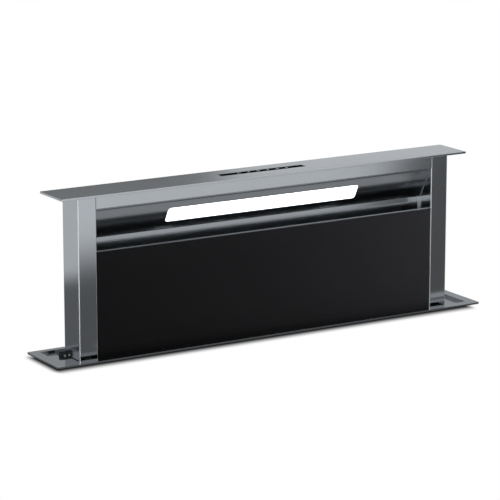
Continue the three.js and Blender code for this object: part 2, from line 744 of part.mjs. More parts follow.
function flap(label, side) {
  const radius = COLLAR_RADIUS - COLLAR_WALL - FLAP_EDGE_GAP;
  const sheetZ = [flapZ - FLAP_THICKNESS / 2, flapZ + FLAP_THICKNESS / 2];
  const disc = roundZ(radius, ductCentreX, ductCentreY, sheetZ);
  const clear = KNUCKLE_RADIUS + KNUCKLE_GAP;
  const otherHalfX = onSide(side, -radius - OVERCUT, clear);
  const otherHalf = block(
    [ductCentreX + otherHalfX[0], ductCentreX + otherHalfX[1]],
    [ductCentreY - radius - OVERCUT, ductCentreY + radius + OVERCUT],
    [sheetZ[0] - OVERCUT, sheetZ[1] + OVERCUT],
  );
  const knuckleSpan = onSide(side, KNUCKLE_GAP, KNUCKLE_GAP + KNUCKLE_LENGTH);
  const knuckleY = [ductCentreY + knuckleSpan[0], ductCentreY + knuckleSpan[1]];
  const knuckle = roundY(KNUCKLE_RADIUS, ductCentreX, knuckleY, flapZ, SMALL_STEPS);
  const tabX = onSide(side, 0, clear + KNUCKLE_GAP);
  const tab = block([ductCentreX + tabX[0], ductCentreX + tabX[1]], knuckleY, sheetZ);
  const bore = roundY(
    FLAP_PIN_RADIUS + RUNNING_FIT,
    ductCentreX,
    [knuckleY[0] - OVERCUT, knuckleY[1] + OVERCUT],
    flapZ,
    SMALL_STEPS,
  );
  return piece(`${label}_flap`, cut(join(cut(disc, otherHalf), knuckle, tab), bore), GREY_PLASTIC);
}

// ---------------------------------------------------------------- mains box

function controlBox() {
  const x = [BOX_OFFSET_X - BOX_LENGTH / 2, BOX_OFFSET_X + BOX_LENGTH / 2];
  const y = [housingFront - BOX_DEPTH, housingFront];
  const z = [-BOX_TOP - BOX_HEIGHT, -BOX_TOP];
  const shell = block(x, y, z);
  const hollow = block(
    [x[0] + BOX_WALL, x[1] - BOX_WALL],
    [y[0] - OVERCUT, y[1] - BOX_WALL],
    [z[0] + BOX_WALL, z[1] - BOX_WALL],
  );
  const glandY = (y[0] + y[1]) / 2;
  const gland = roundZ(GLAND_RADIUS, BOX_OFFSET_X, glandY, [z[0] - GLAND_LENGTH, z[0]], SMALL_STEPS);
  const cableBore = roundZ(
    GLAND_BORE,
    BOX_OFFSET_X,
    glandY,
    [z[0] - GLAND_LENGTH - OVERCUT, z[0] + BOX_WALL + OVERCUT],
    SMALL_STEPS,
  );
  const board = block(
    [x[0] + BOARD_MARGIN, x[1] - BOARD_MARGIN],
    [y[1] - BOX_WALL - BOARD_THICKNESS, y[1] - BOX_WALL],
    [z[0] + BOARD_MARGIN, z[1] - BOARD_MARGIN],
  );
  return group(
    'control_unit',
    piece('control_box', cut(shell, hollow, cableBore), BLACK_PAINT),
    piece('control_box_lid', block(x, [y[0] - BOX_LID, y[0]], z), BLACK_PAINT),
    piece('control_board', board, GREEN_BOARD),
    piece('cable_gland', cut(gland, cableBore), BLACK_NYLON),
  );
}

// ---------------------------------------------------------------- head: cap and touch control

function capPlate() {
  const x = [TOUCH_OFFSET_X - TOUCH_LENGTH / 2, TOUCH_OFFSET_X + TOUCH_LENGTH / 2];
  const y = [TOUCH_OFFSET_Y - TOUCH_DEPTH / 2, TOUCH_OFFSET_Y + TOUCH_DEPTH / 2];
  const plate = block([-capHalf, capHalf], [-CAP_DEPTH / 2, CAP_DEPTH / 2], [capUnder, capTop]);
  const pocket = block(x, y, [capTop - TOUCH_THICKNESS, capTop + OVERCUT]);
  const sensorSlot = block(
    [x[0] + TOUCH_SENSOR_MARGIN, x[1] - TOUCH_SENSOR_MARGIN],
    [y[0] + TOUCH_SENSOR_MARGIN, y[1] - TOUCH_SENSOR_MARGIN],
    [capUnder - OVERCUT, capTop],
  );
  return group(
    'cap',
    piece('cap_plate', cut(plate, pocket, sensorSlot), BRUSHED_STEEL),
    piece('touch_glass', block(x, y, [capTop - TOUCH_THICKNESS, capTop]), BLACK_GLASS),
    piece('touch_board', block(x, y, [capUnder - BOARD_THICKNESS, capUnder]), GREEN_BOARD),
  );
}

// ---------------------------------------------------------------- head: columns

function column(label, side) {
  const x = onSide(side, columnInner, columnOuter);
  const y = [columnFront, columnBack];
  const shape = roundedRectangle(x, y, COLUMN_CORNER);
  const bore = roundedRectangle(
    [x[0] + COLUMN_WALL, x[1] - COLUMN_WALL],
    [y[0] + COLUMN_WALL, y[1] - COLUMN_WALL],
    COLUMN_CORNER - COLUMN_WALL,
  );
  shape.holes.push(bore);
  return piece(`${label}_column`, alongZ(shape, [-COLUMN_TAIL_LENGTH, capUnder]), BRUSHED_STEEL);
}

function guideShoe(label, side) {
  const railMiddle = columnFront + RAIL_SETBACK;
  const railNose = insideHalf - RAIL_REACH;
  const z = [-COLUMN_TAIL_LENGTH, -COLUMN_TAIL_LENGTH + SHOE_HEIGHT];
  const body = block(
    onSide(side, columnOuter, columnOuter + SHOE_REACH),
    [railMiddle - RAIL_WIDTH / 2 - SHOE_CHEEK, railMiddle + RAIL_WIDTH / 2 + SHOE_CHEEK],
    z,
  );
  const groove = block(
    onSide(side, railNose - FIT, insideHalf),
    [railMiddle - RAIL_WIDTH / 2 - FIT, railMiddle + RAIL_WIDTH / 2 + FIT],
    [z[0] - OVERCUT, z[1] + OVERCUT],
  );
  return piece(`${label}_guide_shoe`, cut(body, groove), BLACK_NYLON);
}

function hingePin(label, side) {
  const x = onSide(side, columnInner - HINGE_PIN_LENGTH, columnInner);
  const pin = roundX(HINGE_PIN_RADIUS, x, hingeY, HINGE_HEIGHT, SMALL_STEPS);
  return piece(`${label}_hinge_pin`, pin, BRIGHT_STEEL);
}

function harnessClip() {
  const body = block(
    [-columnOuter - CLIP_LENGTH, -columnOuter],
    [columnBack - CLIP_DEPTH, columnBack],
    [-CLIP_DROP, CLIP_HEIGHT - CLIP_DROP],
  );
  return piece('harness_clip', body, BLACK_NYLON);
}

// ---------------------------------------------------------------- head: fascia, recess and light

function fascia() {
  const foot = capUnder - FASCIA_HEIGHT;
  const outline = outlineShape([
    [columnFront, foot],
    [columnFront + FASCIA_RETURN, foot],
    [columnFront + FASCIA_RETURN, foot + SHEET],
    [columnFront + SHEET, foot + SHEET],
    [columnFront + SHEET, capUnder],
    [columnFront, capUnder],
  ]);
  return piece('fascia', alongX(outline, [-columnInner, columnInner]), BRUSHED_STEEL);
}

// One bend of the recess sheet, as points on an arc about a centre in (y, z).
function bend(centre, radius, from, to) {
  const points = [];
  for (let step = 0; step <= BEND_STEPS; step += 1) {
    const angle = from + (to - from) * step / BEND_STEPS;
    points.push([centre[0] + radius * Math.cos(angle), centre[1] + radius * Math.sin(angle)]);
  }
  return points;
}

// Recess sheet: down behind the fascia, along the slope, round the lip and down behind the glass.
function recessOutline() {
  const centre = [slopeFoot[0] - BEND_RADIUS, slopeFoot[1] - BEND_RADIUS * Math.tan(slopeAngle / 2)];
  const topSkew = SHEET * Math.tan(slopeAngle / 2);
  const front = [
    [slopeTop[0], capUnder],
    [slopeTop[0], slopeTop[1]],
    ...bend(centre, BEND_RADIUS, slopeAngle, 0),
    [slopeFoot[0], recessFoot],
  ];
  const back = [
    [slopeFoot[0] + SHEET, recessFoot],
    ...bend(centre, BEND_RADIUS + SHEET, 0, slopeAngle),
    [slopeTop[0] + SHEET, slopeTop[1] + topSkew],
    [slopeTop[0] + SHEET, capUnder],
  ];
  return outlineShape([...front, ...back]);
}

function recessPlate() {
  const sheet = alongX(recessOutline(), [-columnInner, columnInner]);
  const outline = roundedRectangle(
    [-WINDOW_HEIGHT / 2, WINDOW_HEIGHT / 2],
    [-WINDOW_LENGTH / 2, WINDOW_LENGTH / 2],
    WINDOW_CORNER,
  );
  const window = alongY(outline, [-SHEET, SHEET * 2]);
  window.rotateX(slopeAngle);
  window.translate(0, ...windowCentre());
  return piece('recess_plate', cut(sheet, window), BRUSHED_STEEL);
}

function windowCentre() {
  const reach = WINDOW_START + WINDOW_HEIGHT / 2;
  return [
    slopeTop[0] + reach * Math.sin(slopeAngle),
    slopeTop[1] - reach * Math.cos(slopeAngle),
  ];
}

// The light unit is drawn upright about its window's centre and then turned with the slope.
function lightUnit() {
  const halfX = WINDOW_LENGTH / 2 - TURNED_GAP;
  const halfZ = WINDOW_HEIGHT / 2 - TURNED_GAP;
  const outline = roundedRectangle([-halfZ, halfZ], [-halfX, halfX], WINDOW_CORNER - TURNED_GAP);
  const diffuser = alongY(outline, [0, DIFFUSER_THICKNESS]);
  const outerX = WINDOW_LENGTH / 2 + LIGHT_TRAY_MARGIN;
  const outerZ = WINDOW_HEIGHT / 2 + LIGHT_TRAY_MARGIN;
  const trayFront = SHEET + TURNED_GAP;
  const trayBackY = trayFront + LIGHT_TRAY_DEPTH;
  const shell = block([-outerX, outerX], [trayFront, trayBackY], [-outerZ, outerZ]);
  const wallX = WINDOW_LENGTH / 2;
  const wallZ = WINDOW_HEIGHT / 2;
  const hollowBack = trayBackY - LIGHT_TRAY_SHEET;
  const hollow = block([-wallX, wallX], [trayFront - OVERCUT, hollowBack], [-wallZ, wallZ]);
  const stripBack = hollowBack - TURNED_GAP;
  const strip = block(
    [-halfX, halfX],
    [stripBack - LED_STRIP_THICKNESS, stripBack],
    [-LED_STRIP_HEIGHT / 2, LED_STRIP_HEIGHT / 2],
  );
  const unit = group(
    'light_unit',
    piece('light_diffuser', diffuser, OPAL_ACRYLIC),
    piece('light_tray', cut(shell, hollow), WHITE_PAINT),
    piece('led_strip', strip, ALUMINIUM),
  );
  unit.position.set(0, ...windowCentre());
  unit.rotation.x = slopeAngle;
  return unit;
}

// ---------------------------------------------------------------- head: inner frame and grease filters

function innerFrame() {
  const filterBack = slopeFoot[0];
  const filterFront = filterBack - FILTER_THICKNESS;
  const x = [-columnInner, columnInner];
  const barTop = -COLUMN_TAIL_LENGTH + CROSSBAR_RISE;
  const lip = FILTER_FOOT + FILTER_LAP - SHEET;
  const rail = outlineShape([
    [filterFront - TURNED_GAP - SHEET, FILTER_FOOT - SHEET],
    [filterFront - TURNED_GAP - SHEET, lip],
    [filterFront - TURNED_GAP, lip],
    [filterFront - TURNED_GAP, FILTER_FOOT],
    [filterBack + TURNED_GAP, FILTER_FOOT],
    [filterBack + TURNED_GAP, lip],
    [filterBack + TURNED_GAP + SHEET, lip],
    [filterBack + TURNED_GAP + SHEET, barTop],
    [filterBack + TURNED_GAP, barTop],
    [filterBack + TURNED_GAP, FILTER_FOOT - SHEET],
  ].reverse());
  const bar = block(
    x,
    [filterFront - CROSSBAR_LAP, filterBack + CROSSBAR_LAP],
    [barTop - CROSSBAR_THICKNESS, barTop],
  );
  const wall = block(x, [columnBack - SHEET, columnBack], [-COLUMN_TAIL_LENGTH, capUnder]);
  return group(
    'inner_frame',
    piece('filter_rail', alongX(rail, x), GALVANISED),
    piece('lower_crossbar', bar, GALVANISED),
    piece('head_rear_wall', wall, BRUSHED_STEEL),
  );
}

function greaseFilter(label, side) {
  const x = onSide(side, FILTER_SIDE_GAP, columnInner - FILTER_SIDE_GAP);
  const y = [slopeFoot[0] - FILTER_THICKNESS, slopeFoot[0]];
  const z = [FILTER_FOOT, recessFoot + FILTER_LAP];
  const frame = block(x, y, z);
  const meshX = [x[0] + FILTER_RIM, x[1] - FILTER_RIM];
  const meshZ = [z[0] + FILTER_RIM, z[1] - FILTER_RIM];
  const frontDish = block(meshX, [y[0] - OVERCUT, y[0] + FILTER_DISH], meshZ);
  const backDish = block(meshX, [y[1] - FILTER_DISH, y[1] + OVERCUT], meshZ);
  const middle = (x[0] + x[1]) / 2;
  const handleZ = [meshZ[1], meshZ[1] + HANDLE_BAR];
  const handleBar = block(
    [middle - HANDLE_LENGTH / 2, middle + HANDLE_LENGTH / 2],
    [y[0] - HANDLE_REACH, y[0] - HANDLE_REACH + HANDLE_BAR],
    handleZ,
  );
  const posts = [-1, 1].map((end) => {
    const outer = middle + end * HANDLE_LENGTH / 2;
    const span = end > 0 ? [outer - HANDLE_BAR, outer] : [outer, outer + HANDLE_BAR];
    return block(span, [y[0] - HANDLE_REACH, y[0] + FILTER_DISH], handleZ);
  });
  const filter = join(cut(frame, frontDish, backDish), handleBar, ...posts);
  return piece(`${label}_grease_filter`, filter, ALUMINIUM);
}

// ---------------------------------------------------------------- front panel

function frontPanel() {
  const reach = columnInner - PANEL_SIDE_GAP;
  const glass = block([-reach, reach], [columnFront, glassBack], [-PANEL_TAIL, panelTop]);
  const z = [-PANEL_TAIL + TRAY_SETBACK, panelTop];
  const shell = block([-reach, reach], [glassBack, trayBack], z);
  const hollow = block(
    [-reach + TRAY_SHEET, reach - TRAY_SHEET],
    [glassBack + TRAY_SHEET, trayBack + OVERCUT],
    [z[0] + TRAY_SHEET, z[1] - TRAY_SHEET],
  );
  const pinHole = roundX(
    HINGE_PIN_RADIUS + RUNNING_FIT,
    [-reach - OVERCUT, reach + OVERCUT],
    hingeY,
    HINGE_HEIGHT,
    SMALL_STEPS,
  );
  return group(
    'front_panel',
    piece('front_glass', glass, BLACK_GLASS),
    piece('panel_tray', cut(shell, hollow, pinHole), BRUSHED_STEEL),
  );
}

// ---------------------------------------------------------------- assembly

const base = group('base', trimFrame(), frameGasket(), housing(), gearmotor(), controlBox());
const head = group('head', capPlate(), fascia(), recessPlate(), lightUnit(), innerFrame(), harnessClip());
const drive = group('drive', driveShaft());
const fan = group('fan', fanCasing(), fanScroll(), impeller(), fanMotor());
const duct = group('duct', ductCollar(), flapPin());

SIDES.forEach(([label, side]) => {
  base.add(guides(label, side), worktopClamp(label, side), bearing(label, side));
  head.add(column(label, side), rack(label, side), guideShoe(label, side));
  head.add(hingePin(label, side), greaseFilter(label, side));
  drive.add(pinion(label, side));
  duct.add(flap(label, side));
});

export default group('downdraft_vent', base, head, frontPanel(), drive, fan, duct);
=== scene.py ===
# %% [markdown]
# # A rising downdraft vent
# The unit is let into a worktop. Its steel head stands raised on two columns, with a black glass
# door between them, a sloping light panel above the door and a thin cap on top. Everything below
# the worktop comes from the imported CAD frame.
#
# The whole unit could be remodelled here, but its hidden sheets, racks and boxes look right as they
# are. So this lesson loads the frame, sets up the shot, writes the materials, remodels only the
# pieces whose rounded edges catch the light, and adds the few small ones that the frame lacks.

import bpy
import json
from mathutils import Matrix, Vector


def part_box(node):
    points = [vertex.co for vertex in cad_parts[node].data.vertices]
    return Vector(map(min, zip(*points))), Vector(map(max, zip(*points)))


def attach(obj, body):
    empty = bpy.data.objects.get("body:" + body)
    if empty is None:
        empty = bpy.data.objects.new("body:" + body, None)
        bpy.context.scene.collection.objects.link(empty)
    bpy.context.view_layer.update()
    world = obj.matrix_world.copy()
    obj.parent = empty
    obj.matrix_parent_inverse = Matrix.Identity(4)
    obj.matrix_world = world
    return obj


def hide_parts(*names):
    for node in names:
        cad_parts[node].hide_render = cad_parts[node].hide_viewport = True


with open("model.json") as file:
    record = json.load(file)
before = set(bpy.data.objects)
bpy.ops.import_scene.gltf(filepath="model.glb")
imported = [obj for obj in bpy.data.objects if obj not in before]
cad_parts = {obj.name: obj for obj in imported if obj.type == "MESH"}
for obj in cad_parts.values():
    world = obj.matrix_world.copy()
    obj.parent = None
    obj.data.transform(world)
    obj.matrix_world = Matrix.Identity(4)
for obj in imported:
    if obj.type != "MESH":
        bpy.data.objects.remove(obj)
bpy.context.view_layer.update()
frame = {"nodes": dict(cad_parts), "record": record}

# %% [markdown]
# ## Units
# Blender works in metres, and a sheet-metal drawing in millimetres. Sizes could be written as
# metres with many zeros, but a factor of its own keeps each one as the maker would say it. Sizes
# that the CAD frame already knows aren't typed again: they are read from a node's box.

# %% Modules and units
import json
import math

import bmesh
import bpy
from mathutils import Matrix, Vector

MM = 0.001
scene = bpy.context.scene
scene.view_settings.view_transform = "Standard"


def span(node):
    """The lowest and highest corner of a CAD node, as vectors in metres."""
    low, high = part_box(node)
    return Vector(low), Vector(high)


print("cap:", [round(v, 4) for v in span("cap_plate")[1]])

# %% [markdown]
# ## The shot
# The photograph is taken from the front left and slightly above, with a long lens, so the unit's
# long edges stay nearly parallel. A camera can be aimed by hand, but here its place is worked out
# from an azimuth, an elevation and a distance, which keeps the three numbers easy to change.

# %% Camera
CAMERA_AZIMUTH = math.radians(-31.2)
CAMERA_ELEVATION = math.radians(12.98)
CAMERA_DISTANCE = 4.874
CAMERA_LENS_MM = 187.0
SENSOR_WIDTH_MM = 36.0
FARTHEST_SEEN = 100.0
AIM = Vector((-0.0259, -0.003, 0.1554))

level = math.cos(CAMERA_ELEVATION)
away = Vector((
    math.sin(CAMERA_AZIMUTH) * level,
    -math.cos(CAMERA_AZIMUTH) * level,
    math.sin(CAMERA_ELEVATION),
))
camera_data = bpy.data.cameras.new("photo_camera")
camera_data.sensor_width = SENSOR_WIDTH_MM
camera_data.lens = CAMERA_LENS_MM
camera_data.clip_end = FARTHEST_SEEN
camera = bpy.data.objects.new("photo_camera", camera_data)
scene.collection.objects.link(camera)
camera.location = AIM + away * CAMERA_DISTANCE
camera.rotation_euler = away.to_track_quat("Z", "Y").to_euler()
scene.camera = camera
print("camera at", [round(v, 3) for v in camera.location])

# %% [markdown]
# ## Colours and nodes
# A colour picked from a swatch is written in sRGB hex, while shader sockets want linear light, so
# one function converts it. Materials could be wired by hand in the shader editor. Here a second
# small function adds a node with its settings and its links, which keeps each material below
# readable as a list of what it is made of.

# %% Colour and node helpers
SRGB_KNEE = 0.04045
SRGB_SLOPE = 12.92
SRGB_OFFSET = 0.055
SRGB_GAMMA = 2.4
FULL_BYTE = 255


def linear(hex_colour):
    """An sRGB hex colour as linear RGBA."""
    channels = [int(hex_colour[i:i + 2], 16) / FULL_BYTE for i in (1, 3, 5)]
    lit = [
        c / SRGB_SLOPE if c <= SRGB_KNEE else ((c + SRGB_OFFSET) / (1 + SRGB_OFFSET)) ** SRGB_GAMMA
        for c in channels
    ]
    return (*lit, 1.0)


def add_node(tree, kind, inputs=None, **settings):
    """Adds a node. Inputs that are sockets are linked, and other inputs are set."""
    node = tree.nodes.new(kind)
    for name, value in settings.items():
        setattr(node, name, value)
    for key, value in (inputs or {}).items():
        if isinstance(value, bpy.types.NodeSocket):
            tree.links.new(value, node.inputs[key])
        else:
            node.inputs[key].default_value = value
    return node


def new_material(name):
    """An empty node material: its tree and the output's surface socket."""
    material = bpy.data.materials.new(name)
    material.use_nodes = True
    tree = material.node_tree
    tree.nodes.clear()
    output = tree.nodes.new("ShaderNodeOutputMaterial")
    return material, tree, output.inputs["Surface"]


print("mid grey #808080 is", round(linear("#808080")[0], 3))

# %% [markdown]
# ## Floor
# The unit is shown on a plain white ground at worktop level. A plane alone would slice through the
# body, so the plane gets a cut-out. It could be cut with a boolean, but for a straight hole it is
# enough to draw its four lines across the plane and to delete the face between them.

# %% Floor
FLOOR_SIZE = 60.0
CUTOUT_GROW = Vector((2 * MM, 2 * MM, 0.0))


def mark_outline(low, high):
    """Draws a rectangle's four lines right across the mesh that is in edit mode."""
    for axis in (0, 1):
        for value in (low[axis], high[axis]):
            point, normal = [0.0, 0.0, 0.0], [0.0, 0.0, 0.0]
            point[axis] = value
            normal[axis] = 1.0
            bpy.ops.mesh.select_all(action="SELECT")
            bpy.ops.mesh.bisect(plane_co=point, plane_no=normal)


def lies_within(face, low, high):
    """True when a face's middle is inside a rectangle, seen from above."""
    middle = face.calc_center_median()
    return all(low[axis] < middle[axis] < high[axis] for axis in (0, 1))


def pick(obj, kind, test):
    """In edit mode, selects only the faces, edges or verts that pass the test."""
    bpy.ops.mesh.select_mode(type={"faces": "FACE", "edges": "EDGE", "verts": "VERT"}[kind])
    bpy.ops.mesh.select_all(action="DESELECT")
    mesh = bmesh.from_edit_mesh(obj.data)
    for item in getattr(mesh, kind):
        if test(item):
            item.select_set(True)
    mesh.select_flush_mode()
    bmesh.update_edit_mesh(obj.data)


bpy.ops.object.select_all(action="DESELECT")
bpy.ops.mesh.primitive_plane_add(size=FLOOR_SIZE)
floor = bpy.context.object
floor.name = "studio_floor"
cut_low = span("housing_front_panel")[0] - CUTOUT_GROW
cut_high = span("housing_rear_panel")[1] + CUTOUT_GROW
bpy.ops.object.mode_set(mode="EDIT")
mark_outline(cut_low, cut_high)
pick(floor, "faces", lambda f: lies_within(f, cut_low, cut_high))
bpy.ops.mesh.delete(type="FACE")
bpy.ops.object.mode_set(mode="OBJECT")
print("floor faces:", len(floor.data.polygons))

# %% [markdown]
# ## Soft steps
# Light has no hard edges in a studio, and neither has a print or a lattice seen from afar. A colour
# ramp node gives a soft edge along one value. Some zones here end on several sides, so a function
# multiplies as many soft steps as it is given, and goes from one number to another by their product.

# %% A number that changes over soft steps
def graded(tree, before, after, *steps):
    """A number that turns softly from before to after, past every step (value, start, end).

    Where a start lies above its end, the value passes the step on its way down.
    """
    share = None
    for value, start, end in steps:
        step = add_node(
            tree, "ShaderNodeMapRange", {"Value": value, "From Min": start, "From Max": end},
            interpolation_type="SMOOTHSTEP",
        ).outputs["Result"]
        share = step if share is None else add_node(
            tree, "ShaderNodeMath", {0: share, 1: step}, operation="MULTIPLY",
        ).outputs["Value"]
    mix = add_node(tree, "ShaderNodeMix", {"Factor": share, "A": before, "B": after})
    return mix.outputs["Result"]


print("a soft step is a value, a start and an end")

# %% [markdown]
# ## What the steel mirrors of the ground
# Polished steel shows what stands round it more than its own colour. The ground that it mirrors is
# a studio's: pale further back and in front, dim close to the unit, with a bright patch right
# before the door and slanted edges at the right and the left, as the photograph's reflections have.
# Real cards and lamps could be stood about, but they would show from other sides. So the ground
# glows for mirrored rays alone, in zones. Each zone is one soft step or more along X, Y or a slant.

# %% The ground's zones
# How bright the ground is on either side of a soft step, or past it, and where that step starts
# and ends in metres. A slant is how much of Y is added to X.
BACK_GLOW, BACK_STEP = (0.16, 0.70), (0.46, 0.64)
FRONT_GLOW, FRONT_STEP = (0.84, 0.14), (-1.02, -0.52)
RIGHT_GLOW, RIGHT_SLANT, RIGHT_STEP = 0.125, 0.75, (0.135, 0.21)
PATCH_GLOW = 0.42
PATCH_NEAR, PATCH_FAR = (-0.130, -0.114), (-0.086, -0.094)
PATCH_LEFT, PATCH_RIGHT = (-0.34, -0.30), (0.54, 0.48)
LEFT_GLOW, LEFT_FADE = (1.2, 0.7), (-0.7, -0.1)
LEFT_SLANT, LEFT_STEP = 0.6, (-0.60, -0.70)
UNDER_UNIT = (-0.02, 0.02)

# A roll of matt white paper: it mirrors nothing itself and takes the object's shadow softly.
ground, tree, surface = new_material("white_paper_ground")
place = add_node(tree, "ShaderNodeTexCoord").outputs["Object"]
parts = add_node(tree, "ShaderNodeSeparateXYZ", {"Vector": place})
x, y = parts.outputs["X"], parts.outputs["Y"]
to_right, to_left = (
    add_node(tree, "ShaderNodeMath", {0: y, 1: slant, 2: x}, operation="MULTIPLY_ADD").outputs["Value"]
    for slant in (RIGHT_SLANT, LEFT_SLANT)
)
back = graded(tree, *BACK_GLOW, (y, *BACK_STEP))
front = graded(tree, *FRONT_GLOW, (y, *FRONT_STEP))
front = graded(tree, front, RIGHT_GLOW, (to_right, *RIGHT_STEP))
front = graded(
    tree, front, PATCH_GLOW,
    (y, *PATCH_NEAR), (y, *PATCH_FAR), (x, *PATCH_LEFT), (x, *PATCH_RIGHT),
)
left = graded(tree, *LEFT_GLOW, (y, *LEFT_FADE))
front = graded(tree, front, left, (to_left, *LEFT_STEP))
ground_glow = graded(tree, front, back, (y, *UNDER_UNIT))
print("nodes for the zones:", len(tree.nodes))

# %% [markdown]
# ## What the camera sees of the ground
# In the photograph the ground is pure white, apart from a narrow soft shadow before and left of the
# rim. Caught light alone would leave a grey floor, so camera rays get plain white, darkened by how
# near they are to the rim. That distance is worked out as from a box: how far a place lies past its
# sides along each axis, and then the length of what is left above zero.

# %% Contact shadow
ORIGIN = (0.0, 0.0, 0.0)
SHADOW_REACH = 35 * MM
SHADOW_NARROWING = (1.8, 1.0, 0.0)
SHADOW_DARKEST = -0.86
SHADOW_CURVE = 2.0


def past_box(tree, place, low, high):
    """How far a place lies past a box's sides along each axis, and below zero inside it."""
    for operation, other in (
        ("SUBTRACT", (low + high) / 2), ("ABSOLUTE", ORIGIN), ("SUBTRACT", (high - low) / 2),
    ):
        place = add_node(
            tree, "ShaderNodeVectorMath", {0: place, 1: other}, operation=operation,
        ).outputs["Vector"]
    return place


rim_low, rim_high = span("trim_frame")
past = past_box(
    tree, place, Vector((rim_low.x, rim_low.y, 0.0)),
    Vector((rim_high.x - SHADOW_REACH, rim_high.y - SHADOW_REACH, 0.0)),
)
for operation, other in (("MAXIMUM", ORIGIN), ("MULTIPLY", SHADOW_NARROWING)):
    past = add_node(
        tree, "ShaderNodeVectorMath", {0: past, 1: other}, operation=operation,
    ).outputs["Vector"]
gap = add_node(tree, "ShaderNodeVectorMath", {0: past}, operation="LENGTH").outputs["Value"]
daylight = add_node(
    tree, "ShaderNodeMath",
    {0: graded(tree, SHADOW_DARKEST, 1.0, (gap, -SHADOW_REACH, SHADOW_REACH)), 1: SHADOW_CURVE},
    operation="POWER",
).outputs["Value"]
print("nodes with the shadow:", len(tree.nodes))

# %% [markdown]
# ## One ground for three kinds of ray
# The ground is white paper for the light that falls on it, plain white with its shadow for the
# camera, and the glowing zones for metal and glass. Three planes could be hidden from one ray or
# another, but one material that asks the Light Path node keeps the floor a single object.

# %% Ground material
PURE_WHITE = (1.0, 1.0, 1.0, 1.0)
PAPER = "#f2f2f2"
STUDIO_WHITE = "#f4f7fa"

light_path = add_node(tree, "ShaderNodeLightPath")
paper = add_node(tree, "ShaderNodeBsdfDiffuse", {"Color": linear(PAPER)})
seen = add_node(tree, "ShaderNodeEmission", {"Color": PURE_WHITE, "Strength": daylight})
mirrored = add_node(
    tree, "ShaderNodeEmission", {"Color": linear(STUDIO_WHITE), "Strength": ground_glow},
)
for_camera = add_node(
    tree, "ShaderNodeMixShader",
    {0: light_path.outputs["Is Camera Ray"], 1: paper.outputs["BSDF"], 2: seen.outputs["Emission"]},
)
for_gloss = add_node(
    tree, "ShaderNodeMixShader",
    {0: light_path.outputs["Is Glossy Ray"], 1: for_camera.outputs["Shader"],
     2: mirrored.outputs["Emission"]},
)
tree.links.new(for_gloss.outputs["Shader"], surface)
floor.data.materials.append(ground)
print("ground nodes:", len(tree.nodes))

# %% [markdown]
# ## What the steel mirrors of the room
# Above the ground the studio goes on: metal mirrors a pale room with a dim ceiling, a bright wall
# behind the camera and another at the left. A panorama picture is the usual way, but it would need
# a file, and soft steps along the ray's direction are enough for a brushed surface. The step along
# X lies where the cap's top turns from dark at its left end to pale at its right.

# %% The room's zones
# How bright the room is past each soft step, and where the step lies along the ray's direction,
# from -1 to 1.
LOW_GLOW, CAP_STEP = (0.165, 0.75), (0.4940, 0.5055)
UPPER_GLOW, UPPER_STEP = 0.42, (0.215, 0.235)
CEILING_GLOW, CEILING_STEP = 0.05, (0.60, 0.75)
FRONT_WALL_GLOW, FRONT_WALL_SIDE, FRONT_WALL_FOOT = 1.6, (-0.32, -0.50), (0.34, 0.50)
LEFT_WALL_GLOW, LEFT_WALL_SIDE, LEFT_WALL_END = 1.3, (-0.40, -0.60), (-0.20, -0.35)

world = bpy.data.worlds.new("studio_surroundings")
scene.world = world
world.use_nodes = True
tree = world.node_tree
tree.nodes.clear()
direction = add_node(tree, "ShaderNodeTexCoord").outputs["Generated"]
axes = add_node(tree, "ShaderNodeSeparateXYZ", {"Vector": direction})
x, y, z = (axes.outputs[axis] for axis in "XYZ")
glow = graded(tree, *LOW_GLOW, (x, *CAP_STEP))
glow = graded(tree, glow, UPPER_GLOW, (z, *UPPER_STEP))
glow = graded(tree, glow, CEILING_GLOW, (z, *CEILING_STEP))
glow = graded(tree, glow, FRONT_WALL_GLOW, (y, *FRONT_WALL_SIDE), (z, *FRONT_WALL_FOOT))
glow = graded(tree, glow, LEFT_WALL_GLOW, (x, *LEFT_WALL_SIDE), (y, *LEFT_WALL_END))
print("nodes for the room:", len(tree.nodes))

# %% [markdown]
# ## One world for three kinds of ray
# The camera sees plain white behind the object, and the object gets a weak even light from all
# round. A bright even world would do both, but it would wash out the steel, so mirrored rays get
# the room's zones instead. The Light Path node sorts the rays, as it does for the ground.

# %% World
AMBIENT_LIGHT = 0.30

ambient = add_node(
    tree, "ShaderNodeBackground", {"Color": linear(STUDIO_WHITE), "Strength": AMBIENT_LIGHT},
)
mirrored = add_node(
    tree, "ShaderNodeBackground", {"Color": linear(STUDIO_WHITE), "Strength": glow},
)
backdrop = add_node(tree, "ShaderNodeBackground", {"Color": PURE_WHITE, "Strength": 1.0})
light_path = add_node(tree, "ShaderNodeLightPath")
for_gloss = add_node(
    tree, "ShaderNodeMixShader",
    {0: light_path.outputs["Is Glossy Ray"], 1: ambient.outputs["Background"],
     2: mirrored.outputs["Background"]},
)
for_camera = add_node(
    tree, "ShaderNodeMixShader",
    {0: light_path.outputs["Is Camera Ray"], 1: for_gloss.outputs["Shader"],
     2: backdrop.outputs["Background"]},
)
add_node(tree, "ShaderNodeOutputWorld", {"Surface": for_camera.outputs["Shader"]})
print("world nodes:", len(tree.nodes))

# %% [markdown]
# ## Lamps
# A kitchen product is shot under one large softbox, which lights the cap and leaves soft shadows.
# A small lamp at the right lifts the right column, and one at the left is there to be mirrored in
# the steel's edges. Point or sun lamps would draw hard shadows, so all three are area lamps. They
# differ only in their numbers, so a table makes them.

